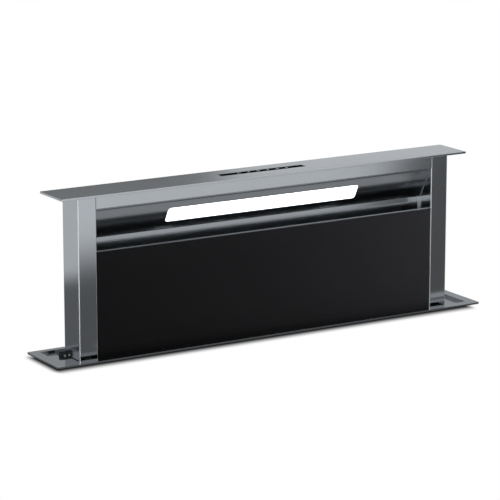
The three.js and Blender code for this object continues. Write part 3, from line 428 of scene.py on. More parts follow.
# %% Three area lamps
LAMPS = (
    # name, place, what it is aimed at, width and depth, watts, seen by the camera and in metal
    ("overhead_softbox", (0.0, 0.1, 3.0), (0.0, 0.1, 0.0), (1.6, 1.1), 120.0, True, False),
    ("right_fill", (0.75, -0.45, 0.35), (0.2, 0.0, 0.15), (0.25, 0.25), 17.0, False, False),
    ("left_edge_light", (-2.2, -1.5, 0.4), (0.0, 0.0, 0.15), (0.3, 0.3), 15.0, False, True),
)

for name, place, target, size, watts, in_view, in_metal in LAMPS:
    data = bpy.data.lights.new(name, "AREA")
    data.shape = "RECTANGLE"
    data.size, data.size_y = size
    data.energy = watts
    lamp = bpy.data.objects.new(name, data)
    lamp.location = place
    lamp.rotation_euler = (Vector(place) - Vector(target)).to_track_quat("Z", "Y").to_euler()
    lamp.visible_camera = in_view
    lamp.visible_glossy = in_metal
    scene.collection.objects.link(lamp)
    print(name, watts, "W")

# %% [markdown]
# ## Metals
# Stainless sheet is brushed: a belt leaves fine parallel scratches along the rolling direction.
# They are a few hundredths of a millimetre wide, far below a pixel here, so they are drawn about
# ten times coarser. An anisotropic shader could stand for them too, but scratches drawn as stretched
# noise, in the gloss and in a very fine bump, also show close up. The same recipe with other
# numbers makes galvanised sheet and turned steel.

# %% Recipe for a metal with a grain
CLOUDS_PER_METRE = 9.0
CLOUD_SHADE = 0.94
LINE_CONTRAST = (0.3, 0.7)
LINE_DEPTH = 0.2


def brushed_metal(name, colour, roughness, grain, line_mm=0.6, spread=0.06, bump=0.04):
    """Metal with a grain along one axis. grain is how far the pattern is stretched along X, Y, Z."""
    material, tree, surface = new_material(name)
    place = add_node(tree, "ShaderNodeTexCoord").outputs["Object"]
    stretch = add_node(
        tree, "ShaderNodeMapping",
        {"Vector": place, "Scale": tuple(1 / (line_mm * MM * times) for times in grain)},
    )
    lines = add_node(
        tree, "ShaderNodeTexNoise",
        {"Vector": stretch.outputs["Vector"], "Scale": 1.0, "Detail": 3.0, "Roughness": 0.6},
    ).outputs["Fac"]
    cloud = add_node(
        tree, "ShaderNodeTexNoise", {"Vector": place, "Scale": CLOUDS_PER_METRE, "Detail": 2.0},
    ).outputs["Fac"]
    gloss = add_node(
        tree, "ShaderNodeMapRange",
        {"Value": lines, "From Min": LINE_CONTRAST[0], "From Max": LINE_CONTRAST[1],
         "To Min": roughness - spread, "To Max": roughness + spread},
    )
    base = linear(colour)
    shade = (*(channel * CLOUD_SHADE for channel in base[:3]), 1.0)
    tint = add_node(
        tree, "ShaderNodeMix", {"Factor": cloud, "A": shade, "B": base}, data_type="RGBA",
    )
    relief = add_node(
        tree, "ShaderNodeBump",
        {"Height": lines, "Strength": bump, "Distance": line_mm * MM * LINE_DEPTH},
    )
    shader = add_node(
        tree, "ShaderNodeBsdfPrincipled",
        {"Base Color": tint.outputs["Result"], "Metallic": 1.0, "Roughness": gloss.outputs["Result"],
         "Normal": relief.outputs["Normal"]},
    )
    tree.links.new(shader.outputs["BSDF"], surface)
    return material


print("a cloud is about", round(1 / (CLOUDS_PER_METRE * MM)), "mm wide")

# %% [markdown]
# ## The unit's metals
# On the real unit most visible steel is the same sheet, but its grain runs along the cap and up
# the columns, and a rolled edge, a bend and a polished frame each send light back in their own
# way. One steel for all would look like plastic film, so each of these finishes is a material.

# %% Steels, zinc and aluminium
ALONG_X = (80.0, 1.0, 1.0)
ALONG_Z = (1.0, 1.0, 80.0)
ROUND_A_BAR = (1.0, 12.0, 12.0)
NO_GRAIN = (1.0, 1.0, 1.0)
STAINLESS = "#c2c5c8"

# Stainless sheet brushed lengthwise: a soft mirror, drawn out across the grain.
steel_long = brushed_metal("brushed_stainless_along_unit", STAINLESS, 0.15, ALONG_X, spread=0.04)
# The same sheet with its grain upright: a little clearer, with light in upright streaks.
steel_up = brushed_metal("brushed_stainless_upright", STAINLESS, 0.11, ALONG_Z, spread=0.03)
# The finer brushing of the frame: a clearer mirror that keeps edges sharp, and a slightly darker colour
# that is painted shade.
steel_rim = brushed_metal("fine_brushed_stainless_rim", "#b9bcbf", 0.09, ALONG_X, spread=0.02)
# A bend, pale as a painted highlight and dull, so it draws a bright line on any side.
fold_highlight_steel = brushed_metal("stainless_fold_painted_highlight", "#dfe1e3", 0.50, ALONG_Z, spread=0.04)
# Sheet as it leaves the mill, annealed bright: an even mirror with hardly any grain.
steel_mirror = brushed_metal("bright_annealed_stainless", STAINLESS, 0.15, ALONG_X, spread=0.03)
# Steel turned or rolled to a bright bar: fine rings that blur the light round it.
steel_turned = brushed_metal("turned_steel", "#c9cbcd", 0.28, ROUND_A_BAR, spread=0.08)
# Hot-dipped sheet: dull grey zinc with a spangle about 9 mm across.
galvanised = brushed_metal("galvanised_sheet", "#9ea3a6", 0.45, NO_GRAIN, 9.0, 0.12, 0.02)
# Aluminium as rolled: paler and softer than the steel, with faint lengthwise lines.
aluminium = brushed_metal("mill_aluminium", "#c6c8ca", 0.38, ALONG_X, spread=0.08)
print("finishes of steel:", steel_long.name, steel_up.name, steel_rim.name, fold_highlight_steel.name)

# %% [markdown]
# ## Strands of the grease filters
# The filters are stacks of expanded aluminium mesh in a plain frame. The mesh is a lattice of
# diagonal strands 1 mm wide, 5 mm apart. Modelled strand by strand it would be tens of thousands of
# faces behind a door, so it is drawn: the distances along both diagonals are folded to and fro by
# half a pitch, and a strand is where one of them is near zero. The two filters mirror each other,
# so X is folded first.

# %% Filter strands
STRAND_PITCH = 5.0 * MM
HALF_PITCH = 0.5
STRAND_SHARE = 0.12
STRAND_SOFTNESS = 1.8

# Slit and stretched aluminium, layer on layer: grey strands over a painted shade for the stack's dark
# depth.
mesh_alu, tree, surface = new_material("expanded_aluminium_mesh")
place = add_node(tree, "ShaderNodeTexCoord").outputs["Object"]
folded = add_node(
    tree, "ShaderNodeVectorMath", {0: place}, operation="ABSOLUTE",
).outputs["Vector"]
folds = []
for rise in (1.0, -1.0):
    turns = add_node(
        tree, "ShaderNodeVectorMath", {0: folded, 1: (1 / STRAND_PITCH, 0.0, rise / STRAND_PITCH)},
        operation="DOT_PRODUCT",
    ).outputs["Value"]
    folds.append(add_node(
        tree, "ShaderNodeMath", {0: turns, 1: HALF_PITCH}, operation="PINGPONG",
    ).outputs["Value"])
nearest = add_node(tree, "ShaderNodeMath", dict(enumerate(folds)), operation="MINIMUM").outputs["Value"]
strand = graded(tree, 0.0, 1.0, (nearest, STRAND_SHARE * STRAND_SOFTNESS, STRAND_SHARE))
print("strand nodes:", len(tree.nodes))

# %% [markdown]
# ## Frame and finish of the grease filters
# Each filter's frame is what lies within 10 mm of its edges. It could be a second material on faces
# of its own, but the CAD node's mesh stays as it is, so the same distance from a box as before
# finds it, with the right filter's box for both. Between strands and frame a painted shade stands
# for the dark depth of the stack, and a bump lifts the metal from it.

# %% Filter material
STACK_PAINTED_SHADE = "#2a2b2c"
BARE_STRAND = "#c6c8ca"
FILTER_BORDER = 10.0 * MM
BORDER_SOFTNESS = 1.0 * MM
MESH_RELIEF = 0.5 * MM

past = add_node(
    tree, "ShaderNodeSeparateXYZ", {"Vector": past_box(tree, folded, *span("right_grease_filter"))},
)
outmost = add_node(
    tree, "ShaderNodeMath", {0: past.outputs["X"], 1: past.outputs["Z"]}, operation="MAXIMUM",
).outputs["Value"]
framed = graded(tree, 1.0, 0.0, (outmost, -FILTER_BORDER, -FILTER_BORDER - BORDER_SOFTNESS))
solid = add_node(tree, "ShaderNodeMath", {0: strand, 1: framed}, operation="MAXIMUM").outputs["Value"]
tint = add_node(
    tree, "ShaderNodeMix",
    {"Factor": solid, "A": linear(STACK_PAINTED_SHADE), "B": linear(BARE_STRAND)}, data_type="RGBA",
)
relief = add_node(
    tree, "ShaderNodeBump", {"Height": solid, "Strength": 0.6, "Distance": MESH_RELIEF},
)
shader = add_node(
    tree, "ShaderNodeBsdfPrincipled",
    {"Base Color": tint.outputs["Result"], "Metallic": 1.0, "Roughness": 0.42,
     "Normal": relief.outputs["Normal"]},
)
tree.links.new(shader.outputs["BSDF"], surface)
print("mesh nodes:", len(tree.nodes))

# %% [markdown]
# ## Glass, plastics and paint
# The door is toughened glass, painted black on its back, so what shows is a deep black with a thin
# polished reflection on it. It could be a clear pane over a black sheet, but the two would cost
# light paths and look the same. Moulded nylon and powder coat share its recipe: a fine orange-peel
# texture whose bumps scatter the highlight.

# %% Recipe for glass, plastic, rubber and paint
GLOSS_VARIATION = 0.05
PEEL_DEPTH = 0.2


def moulded(name, colour, roughness, grain_mm=0.8, bump=0.15, specular=0.5):
    """A material that isn't metal, with a fine random texture."""
    material, tree, surface = new_material(name)
    place = add_node(tree, "ShaderNodeTexCoord").outputs["Object"]
    texture = add_node(
        tree, "ShaderNodeTexNoise", {"Vector": place, "Scale": 1 / (grain_mm * MM), "Detail": 2.0},
    ).outputs["Fac"]
    gloss = add_node(
        tree, "ShaderNodeMapRange",
        {"Value": texture, "To Min": roughness - GLOSS_VARIATION,
         "To Max": roughness + GLOSS_VARIATION},
    )
    relief = add_node(
        tree, "ShaderNodeBump",
        {"Height": texture, "Strength": bump, "Distance": grain_mm * MM * PEEL_DEPTH},
    )
    shader = add_node(
        tree, "ShaderNodeBsdfPrincipled",
        {"Base Color": linear(colour), "Roughness": gloss.outputs["Result"],
         "Specular IOR Level": specular, "Normal": relief.outputs["Normal"]},
    )
    tree.links.new(shader.outputs["BSDF"], surface)
    return material


# Float glass, painted on its back: deep black under a weak clear reflection. Its gloss changes
# slowly, over 60 mm, and it has no bumps.
black_glass = moulded("back_painted_black_glass", "#101011", 0.10, 60.0, 0.0, 0.04)
# The same glass where a wheel has ground its edge: a matt arris that looks grey.
ground_edge = moulded("ground_black_glass_edge", "#101011", 0.60, 0.5, 0.1, 0.10)
# Etched touch glass: so matt that it mirrors nothing and stays black from above.
touch_black = moulded("anti_glare_touch_glass", "#0a0a0b", 0.40, 60.0, 0.0, 0.0)
# Nylon from a spark-eroded mould: a dull black with a fine grain.
black_nylon = moulded("moulded_black_nylon", "#17181a", 0.45)
# Foamed rubber with a skin: dead matt, with pores about 1 mm wide.
black_rubber = moulded("closed_cell_rubber", "#191919", 0.75, 1.2, 0.3)
# Powder coat: a hard half-gloss with the slight waves that the melted powder leaves.
black_paint = moulded("black_powder_coat", "#202225", 0.42, 1.0, 0.2)
# White paint inside the lamp tray: it throws the light back evenly.
white_paint = moulded("white_reflector_paint", "#ecedee", 0.5, 1.0, 0.1)
# Glass-fibre epoxy under green resist: half-gloss, with the weave 2 mm wide.
board_green = moulded("glass_epoxy_board", "#1d5a38", 0.4, 2.0, 0.1)
# Grey plastic of a plain box: a dull grey with the same fine grain as the nylon.
grey_plastic = moulded("moulded_grey_plastic", "#85898c", 0.45)
print("the door takes", black_glass.name, "and", ground_edge.name)

# %% [markdown]
# ## Lit surfaces
# The window in the sloping sheet is opal acrylic with a strip of LEDs behind it, and the marks on
# the touch strip are printed white and lit from below. Real lamps behind a scattering sheet would
# take long to render clean, so both surfaces glow by themselves. The glow is just enough for the
# window to be white, and the acrylic keeps a slight change of gloss, 30 mm wide, from its extrusion.

# %% Opal acrylic and screen print
LAMP_GLOW = 1.25
MARK_GLOW = 0.55
LED_WHITE = "#fbfdff"
HAZE_PER_METRE = 30.0


def lit(name, colour, glow):
    """A milky surface with light behind it."""
    material, tree, surface = new_material(name)
    place = add_node(tree, "ShaderNodeTexCoord").outputs["Object"]
    haze = add_node(tree, "ShaderNodeTexNoise", {"Vector": place, "Scale": HAZE_PER_METRE})
    shader = add_node(
        tree, "ShaderNodeBsdfPrincipled",
        {"Base Color": linear(colour),
         "Roughness": graded(tree, 0.3, 0.42, (haze.outputs["Fac"], 0.0, 1.0)),
         "Emission Color": linear(LED_WHITE), "Emission Strength": glow},
    )
    tree.links.new(shader.outputs["BSDF"], surface)
    return material


# Extruded opal acrylic: milky white, half-gloss, and evenly bright with the lamp on.
opal = lit("opal_acrylic_lit", "#f6f8fa", LAMP_GLOW)
# Screen print on the touch glass: a thin grey film that glows less than the window.
mark_white = lit("backlit_screen_print", "#8a8c8e", MARK_GLOW)
print("glow of diffuser and marks:", LAMP_GLOW, MARK_GLOW)

# %% [markdown]
# ## Finishes on the CAD nodes
# Every part of the record names a material slot, so the hidden sheets, racks, gears and boxes can
# be dressed by a table from slot to finish, rather than one by one. Only the two grease filters
# leave their slot's plain aluminium for the mesh. Pieces that are remodelled below are dressed
# again when they are finished.

# %% Assign the finishes
FINISH_OF_SLOT = {
    "brushed_steel": steel_long,
    "galvanised_steel": galvanised,
    "bright_steel": steel_turned,
    "aluminium": aluminium,
    "black_glass": black_glass,
    "black_nylon": black_nylon,
    "black_rubber": black_rubber,
    "black_paint": black_paint,
    "opal_acrylic": opal,
    "white_paint": white_paint,
    "green_board": board_green,
    "grey_plastic": grey_plastic,
}


def dress(obj, material):
    """Gives an object one material."""
    obj.data.materials.clear()
    obj.data.materials.append(material)


for row in frame["record"]["subparts"]:
    dress(frame["nodes"][row["node"]], FINISH_OF_SLOT[row["material_slot"]])
for side in ("left", "right"):
    dress(frame["nodes"][side + "_grease_filter"], mesh_alu)
print("dressed", len(frame["nodes"]), "nodes")

# %% [markdown]
# ## Starting a piece
# The pieces are modelled as by hand: a primitive, a few edit-mode steps and a modifier or two.
# Solid pieces start as a block and folded sheet as an upright plane. A new primitive keeps its size
# and turn on its object, where a bevel or a wall would come out stretched, so these are applied to
# the mesh at once.

# %% Blocks, sheets and copies
QUARTER_TURN = math.radians(90.0)


def lone(obj):
    """Makes obj the only selected and the active object."""
    bpy.ops.object.select_all(action="DESELECT")
    obj.select_set(True)
    bpy.context.view_layer.objects.active = obj


def settle():
    """Moves the selected objects' place, turn and scale into their meshes."""
    bpy.ops.object.transform_apply(location=True, rotation=True, scale=True)


def start_block(name, low, high):
    """A box primitive between two corners, left in object mode."""
    bpy.ops.object.select_all(action="DESELECT")
    low, high = Vector(low), Vector(high)
    bpy.ops.mesh.primitive_cube_add(size=1.0, location=(low + high) / 2, scale=high - low)
    block = bpy.context.object
    block.name = name
    settle()
    return block


def start_sheet(name, low, high, front):
    """An upright plane at Y = front, as wide and high as from low to high."""
    bpy.ops.object.select_all(action="DESELECT")
    bpy.ops.mesh.primitive_plane_add(size=1.0, rotation=(QUARTER_TURN, 0.0, 0.0))
    sheet = bpy.context.object
    sheet.name = name
    sheet.scale = (high.x - low.x, high.z - low.z, 1.0)
    sheet.location = ((low.x + high.x) / 2, front, (low.z + high.z) / 2)
    settle()
    return sheet


def copy_to(pattern, place, turn=0.0):
    """A copy of a piece with a mesh of its own, moved by place and turned about Z."""
    twin = pattern.copy()
    twin.data = pattern.data.copy()
    twin.location = place
    twin.rotation_euler.z = turn
    scene.collection.objects.link(twin)
    return twin


print("a piece starts as a block, a sheet or a copy")

# %% [markdown]
# ## Picking faces and edges
# By hand one would click on the edges to round. A script picks them by where they lie or where
# they point, which still works after a size has changed. Two measures decide what counts: how close
# a corner is to a place, and how square a face or an edge is to an axis.

# %% Where things lie and point
TOUCHING = 0.01 * MM
SQUARE_TO_AXIS = 0.9


def edge_dir(edge):
    """The direction of an edge, as absolute parts."""
    step = (edge.verts[1].co - edge.verts[0].co).normalized()
    return Vector(abs(part) for part in step)


def is_upright(edge):
    """True for an edge along Z."""
    return edge_dir(edge).z > SQUARE_TO_AXIS


def lies_at(edge, **place):
    """True when both ends of an edge have the coordinates that are given."""
    return all(
        abs(getattr(vert.co, axis) - value) < TOUCHING
        for vert in edge.verts for axis, value in place.items()
    )


def pull(step):
    """Extrudes what is picked by a step."""
    bpy.ops.mesh.extrude_region_move(TRANSFORM_OT_translate={"value": step})


print("corners touch within", TOUCHING / MM, "mm")

# %% [markdown]
# ## Rounding, walls and cuts
# Rounding an edge, giving a sheet its thickness and cutting a hole are modifiers. They could stay
# live, but each is applied as soon as it is set, because the next step works on its result.

# %% Modifiers that are applied at once
ROUND_ABOVE = math.radians(30.0)


def apply(obj, kind, **settings):
    """Adds a modifier with its settings, and applies it."""
    lone(obj)
    modifier = obj.modifiers.new(kind.lower(), kind)
    for name, value in settings.items():
        setattr(modifier, name, value)
    bpy.ops.object.modifier_apply(modifier=modifier.name)


def soften(obj, width, segments=3):
    """Rounds every edge that turns sharply, and leaves those of a rounding alone."""
    apply(
        obj, "BEVEL", width=width, segments=segments, limit_method="ANGLE",
        angle_limit=ROUND_ABOVE,
    )


def add_wall(obj, thickness, offset=-1.0):
    """Gives a surface its thickness, on its inner side unless offset is 1."""
    apply(obj, "SOLIDIFY", thickness=thickness, offset=offset)


def back_of(sheet):
    """The wall offset that puts a sheet's thickness behind its front face."""
    return -1.0 if sheet.data.polygons[0].normal.y < 0 else 1.0


def carve(obj, cutter):
    """Cuts one object out of another, and deletes the cutter."""
    apply(obj, "BOOLEAN", object=cutter, operation="DIFFERENCE", solver="EXACT")
    bpy.data.objects.remove(cutter)


print("edges are rounded that turn by more than", round(math.degrees(ROUND_ABOVE)), "degrees")

# %% [markdown]
# ## Finishing a piece
# A finished piece has smooth roundings between flat faces. Smooth shading alone would bend the light
# near each rounding, so Weighted Normal gives the large faces the say. Then the piece gets its
# material and its body, and stands for its CAD node. On bent sheet every face that lies slanted
# takes a second material, whose paler colour is a painted highlight along the folds.

# %% Smooth, dress and tie
SMOOTH_BELOW = math.radians(35.0)
FLAT_FACE = 0.995


def join_all(pieces, name):
    """Joins pieces into one object with a name."""
    lone(pieces[0])
    for piece in pieces:
        piece.select_set(True)
    bpy.ops.object.join()
    pieces[0].name = name
    return pieces[0]


def finish_piece(obj, body, slot, material, *nodes):
    """Smooths a piece's roundings, dresses it, ties it to its body and stands it for CAD nodes."""
    lone(obj)
    settle()
    bpy.ops.object.shade_smooth_by_angle(angle=SMOOTH_BELOW)
    apply(obj, "WEIGHTED_NORMAL", keep_sharp=True)
    dress(obj, material)
    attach(obj, body)
    if nodes:
        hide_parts(*nodes)
    print(obj.name, "faces:", len(obj.data.polygons))


def brighten_folds(obj):
    """Gives a sheet-metal piece's rounded edges the paler fold steel: a painted highlight."""
    obj.data.materials.append(fold_highlight_steel)
    for face in obj.data.polygons:
        square = max(abs(part) for part in face.normal)
        face.material_index = 1 if square < FLAT_FACE else 0


print("faces smooth below", round(math.degrees(SMOOTH_BELOW)), "degrees")

# %% [markdown]
# ## Cap plate
# The cap is a thick steel plate, with a shallow pocket for the touch glass. The pocket could be cut
# with a boolean. Here four bisecting planes mark its outline on a box and the middle face is
# extruded down, which keeps the top in a few clean faces. A small rounding on all edges gives the
# bright line that the photograph shows along its front.

# %% Cap with its pocket
ARRIS = 0.5 * MM
POCKET_GAP = Vector((0.25 * MM, 0.25 * MM, 0.0))

low, high = span("cap_plate")
glass_low, glass_high = span("touch_glass")
cap = start_block("cap_sheet", low, high)
bpy.ops.object.mode_set(mode="EDIT")
mark_outline(glass_low - POCKET_GAP, glass_high + POCKET_GAP)
pick(cap, "faces", lambda f: f.normal.z > SQUARE_TO_AXIS and lies_within(f, glass_low, glass_high))
pull((0.0, 0.0, glass_low.z - high.z))
bpy.ops.object.mode_set(mode="OBJECT")
soften(cap, ARRIS)
finish_piece(cap, "head", "brushed_steel", steel_long, "cap_plate")
# Its rounded edges take the paler fold steel, a painted highlight.
brighten_folds(cap)

# %% [markdown]
# ## Touch glass
# The touch glass lies flush in that pocket. It is cut with slightly rounded corners and its edges
# are ground, so the upright edges of a block are bevelled first and then all edges, but less. One
# bevel for both would round the corners too little or the edges too much.

# %% Touch glass
GLASS_CORNER = 1.0 * MM
GLASS_ARRIS = 0.25 * MM

touch_strip = start_block("touch_strip", glass_low, glass_high)
bpy.ops.object.mode_set(mode="EDIT")
pick(touch_strip, "edges", is_upright)
bpy.ops.mesh.bevel(offset=GLASS_CORNER, segments=4, affect="EDGES")
bpy.ops.object.mode_set(mode="OBJECT")
soften(touch_strip, GLASS_ARRIS, 2)
finish_piece(touch_strip, "head", "black_glass", touch_black, "touch_glass")

# %% [markdown]
# ## Marks on the touch glass
# Six plain marks are screen-printed on the glass, each a few millimetres across: rings and dashes
# in turn. They could be painted in the glass's material, but as thin shapes a hair above the glass
# they keep sharp edges. One ring and one dash are drawn from circles: the ring's middle is inset and
# deleted, and the dash is a circle that is pressed flat.

# %% One ring and one dash
MARK_RADIUS = 2.8 * MM
RING_LINE = 0.6 * MM
DASH_SHAPE = (0.9, 0.35, 1.0)

patterns = []
for shape in ("ring", "dash"):
    bpy.ops.object.select_all(action="DESELECT")
    bpy.ops.mesh.primitive_circle_add(vertices=24, radius=MARK_RADIUS, fill_type="NGON")
    bpy.ops.object.mode_set(mode="EDIT")
    if shape == "ring":
        bpy.ops.mesh.inset(thickness=RING_LINE)
        bpy.ops.mesh.delete(type="FACE")
    else:
        bpy.ops.transform.resize(value=DASH_SHAPE, center_override=ORIGIN)
    bpy.ops.object.mode_set(mode="OBJECT")
    patterns.append(bpy.context.object)
print("faces of a ring and a dash:", [len(p.data.polygons) for p in patterns])

# %% [markdown]
# ## The row of marks
# The six keys under the glass are evenly spaced, so the two shapes are copied in turn along a row.
# An array modifier would do the spacing, but it repeats one shape, and the row has two. The joined
# marks get the thickness of a printed film, which closes them into solids.

# %% Six marks in a row
MARK_COUNT = 6
MARK_PITCH = 20.9 * MM
FIRST_MARK = Vector((-47.0 * MM, 1.7 * MM, glass_high.z))
MARK_LIFT = 0.04 * MM
MARK_FILM = 0.06 * MM

marks = [
    copy_to(patterns[index % 2], FIRST_MARK + Vector((index * MARK_PITCH, 0.0, MARK_LIFT)))
    for index in range(MARK_COUNT)
]
for pattern in patterns:
    bpy.data.objects.remove(pattern)
touch_marks = join_all(marks, "touch_marks")
add_wall(touch_marks, MARK_FILM)
finish_piece(touch_marks, "head", "opal_acrylic", mark_white)

# %% [markdown]
# ## Columns
# Each column is a box folded from 1.5 mm sheet. It could stay a solid block, but the real one is a
# hollow tube, open at both ends. So the four upright edges of a block are rounded to the fold's
# radius, its two ends are deleted, and Solidify gives the open tube its wall. The right column is a
# copy of the left one.

# %% Left and right column
FOLD_RADIUS = 1.6 * MM
SHEET = 1.5 * MM


def both_sides(piece, name, distance):
    """Names a left piece, and copies it for the right side, a distance further along X."""
    twin = copy_to(piece, (distance, 0.0, 0.0))
    piece.name, twin.name = "left_" + name, "right_" + name
    return piece, twin


low, high = span("left_column")
post = start_block("left_post", low, high)
bpy.ops.object.mode_set(mode="EDIT")
pick(post, "faces", lambda f: abs(f.normal.z) > SQUARE_TO_AXIS)
bpy.ops.mesh.delete(type="FACE")
pick(post, "edges", is_upright)
bpy.ops.mesh.bevel(offset=FOLD_RADIUS, segments=6, affect="EDGES")
bpy.ops.object.mode_set(mode="OBJECT")
add_wall(post, SHEET)
left_post, right_post = both_sides(post, "post", span("right_column")[0].x - low.x)
finish_piece(left_post, "head", "brushed_steel", steel_up, "left_column")
finish_piece(right_post, "head", "brushed_steel", steel_up, "right_column")
brighten_folds(left_post)
brighten_folds(right_post)

# %% [markdown]
# ## Fascia
# The fascia is a strip under the cap's front edge, with a return folded back at its foot. Folded
# sheet can be drawn as a solid profile, but it is quicker to draw only its outside surface: a flat
# plane whose lower edge is extruded back. The fold is rounded and Solidify adds the sheet behind.

# %% Fascia strip
low, high = span("fascia")
strip = start_sheet("fascia_strip", low, high, low.y)
bpy.ops.object.mode_set(mode="EDIT")
pick(strip, "edges", lambda e: lies_at(e, z=low.z))
pull((0.0, high.y - low.y, 0.0))
pick(strip, "edges", lambda e: lies_at(e, y=low.y, z=low.z))
bpy.ops.mesh.bevel(offset=FOLD_RADIUS, segments=5, affect="EDGES")
bpy.ops.mesh.select_all(action="SELECT")
bpy.ops.mesh.normals_make_consistent(inside=False)
bpy.ops.object.mode_set(mode="OBJECT")
add_wall(strip, SHEET, back_of(strip))
finish_piece(strip, "head", "brushed_steel", steel_long, "fascia")

# %% [markdown]
# ## Recess sheet
# Above the door, one sheet runs down behind the fascia, slopes back with the lamp window in it,
# turns over a soft lip and drops behind the door. It could be lofted from a profile curve, but a
# plane that is extruded edge by edge keeps each fold as one edge, which is then rounded to its own
# radius. Solidify gives it the same thickness as the fascia.

# %% Recess sheet
SLOPE_TOP = Vector((0.0, -25.3 * MM, 272.3 * MM))
SLOPE_FOOT = Vector((0.0, 6.4 * MM, 215.5 * MM))
TOP_FOLD_RADIUS = 1.5 * MM
LIP_RADIUS = 1.2 * MM

low, high = span("recess_plate")
sheet = start_sheet("recess_sheet", Vector((low.x, low.y, SLOPE_TOP.z)), high, SLOPE_TOP.y)
bpy.ops.object.mode_set(mode="EDIT")
pick(sheet, "edges", lambda e: lies_at(e, z=SLOPE_TOP.z))
pull(SLOPE_FOOT - SLOPE_TOP)
pull((0.0, 0.0, low.z - SLOPE_FOOT.z))
for fold, radius in ((SLOPE_TOP, TOP_FOLD_RADIUS), (SLOPE_FOOT, LIP_RADIUS)):
    pick(sheet, "edges", lambda e, fold=fold: lies_at(e, z=fold.z))
    bpy.ops.mesh.bevel(offset=radius, segments=6, affect="EDGES")
bpy.ops.object.mode_set(mode="OBJECT")
add_wall(sheet, SHEET, back_of(sheet))
print("recess faces before its window:", len(sheet.data.polygons))

# %% [markdown]
# ## Lamp window
# The window has round corners and lies in the slope. An inset face can't have round corners, so the
# window is cut by a block with rounded edges that has the slope's own tilt. The block is made by a
# function, because the lens that fills the window is the same block, only thinner and smaller.

# %% Lamp window
WINDOW_SIZE = (416 * MM, 32.2 * MM)
WINDOW_DROP = 32.7 * MM
WINDOW_CORNER = 6.0 * MM
CUTTER_REACH = 5.0 * MM

slope = SLOPE_FOOT - SLOPE_TOP
slope_tilt = math.atan2(slope.y, -slope.z)
window_centre = SLOPE_TOP + slope.normalized() * WINDOW_DROP


def lay_in_slope(piece, place):
    """Tilts a piece that is drawn upright into the slope, at a place."""
    piece.rotation_euler = (slope_tilt, 0.0, 0.0)
    piece.location = place
    settle()


def window_block(name, grow, front, back):
    """A round-cornered block through the window, grown all round, from front to back of the slope."""
    half_width, half_height = (size / 2 + grow for size in WINDOW_SIZE)
    block = start_block(name, (-half_width, front, -half_height), (half_width, back, half_height))
    bpy.ops.object.mode_set(mode="EDIT")
    pick(block, "edges", lambda e: edge_dir(e).y > SQUARE_TO_AXIS)
    bpy.ops.mesh.bevel(offset=WINDOW_CORNER + grow, segments=8, affect="EDGES")
    bpy.ops.object.mode_set(mode="OBJECT")
    lay_in_slope(block, window_centre)
    return block


carve(sheet, window_block("window_cutter", 0.0, -CUTTER_REACH, CUTTER_REACH))
finish_piece(sheet, "head", "brushed_steel", steel_mirror, "recess_plate")

# %% [markdown]
# ## Ends of the recess
# At each end a small tab is folded forward from the slope, and below it the sheet's narrow edge
# runs on down beside the column. Both are only a few millimetres wide, but they draw the fine light
# lines next to the columns. They could be folded from the sheet itself, but the sheet stays simple
# with blocks set on it. The left ones are modelled, and the right ones are their copies.

# %% End tabs and strips
TAB_SHEET = 1.2 * MM
TAB_STAND = 2.5 * MM
TAB_ARRIS = 0.4 * MM
STRIP_WIDTH = 3.5 * MM
STRIP_ARRIS = 0.3 * MM

tab = start_block(
    "left_recess_tab", (low.x, -TAB_STAND, -slope.length), (low.x + TAB_SHEET, TAB_SHEET, 0.0),
)
lay_in_slope(tab, SLOPE_TOP)
soften(tab, TAB_ARRIS, 2)
strip = start_block(
    "left_recess_strip", (low.x, SLOPE_FOOT.y - TAB_SHEET, low.z),
    (low.x + STRIP_WIDTH, SLOPE_FOOT.y + TAB_SHEET / 2, SLOPE_FOOT.z - TAB_SHEET),
)
soften(strip, STRIP_ARRIS, 2)
tabs = both_sides(tab, "recess_tab", high.x - low.x - TAB_SHEET)
strips = both_sides(strip, "recess_strip", high.x - low.x - STRIP_WIDTH)
for tab, strip in zip(tabs, strips):
    finish_piece(tab, "head", "brushed_steel", steel_mirror)
    brighten_folds(tab)
    # The narrow strip is all in the paler fold steel, a painted highlight.
    finish_piece(strip, "head", "brushed_steel", fold_highlight_steel)

# %% [markdown]
# ## Lens
# A sheet of opal acrylic closes the window, with a fine gap all round. It could be the CAD node as
# it is, but that one's edges are sharp and its corners are drawn in few steps. So the window's own
# block is made once more, as thick as the acrylic, and its edges are eased.

# %% Lens in the window
LENS_GAP = 0.2 * MM
LENS_BACK = 3.0 * MM
LENS_ARRIS = 0.3 * MM

lens = window_block("lamp_lens", -LENS_GAP, LENS_GAP, LENS_BACK)
soften(lens, LENS_ARRIS, 2)
finish_piece(lens, "head", "opal_acrylic", opal, "light_diffuser")

# %% [markdown]
# ## Glass door
# The door is one sheet of toughened glass with ground edges. A ground edge is a small flat at 45
# degrees, which is what draws the thin light line along its top. A rounding would blur that line,
# so the bevel has a single segment, and the faces that look up take the ground finish.

# %% Door glass
DOOR_ARRIS = 0.5 * MM
LOOKS_UP = 0.3

low, high = span("front_glass")
door = start_block("door_glass", low, high)
bpy.ops.object.mode_set(mode="EDIT")
bpy.ops.mesh.select_all(action="SELECT")
bpy.ops.mesh.bevel(offset=DOOR_ARRIS, segments=1, affect="EDGES")
bpy.ops.object.mode_set(mode="OBJECT")
finish_piece(door, "front_panel", "black_glass", black_glass, "front_glass")
door.data.materials.append(ground_edge)
for face in door.data.polygons:
    face.material_index = 1 if face.normal.z > LOOKS_UP else 0

# %% [markdown]
# ## Trim frame
# The frame's rim lies on the worktop. Inside it, a well holds the cap when the head is down, with a
# ledge round a large opening. Its CAD node has every step of this already and only lacks its
# roundings, so the node is copied rather than drawn again. The copy's loose triangles are merged
# and dissolved into whole faces, its four outer corners are rounded, and then all its edges, less.

# %% Rim, well and ledge
FRAME_CORNER = 3.0 * MM
FRAME_ARRIS = 0.4 * MM
NEAR_END = 0.1 * MM
SAME_PLANE = math.radians(1.0)

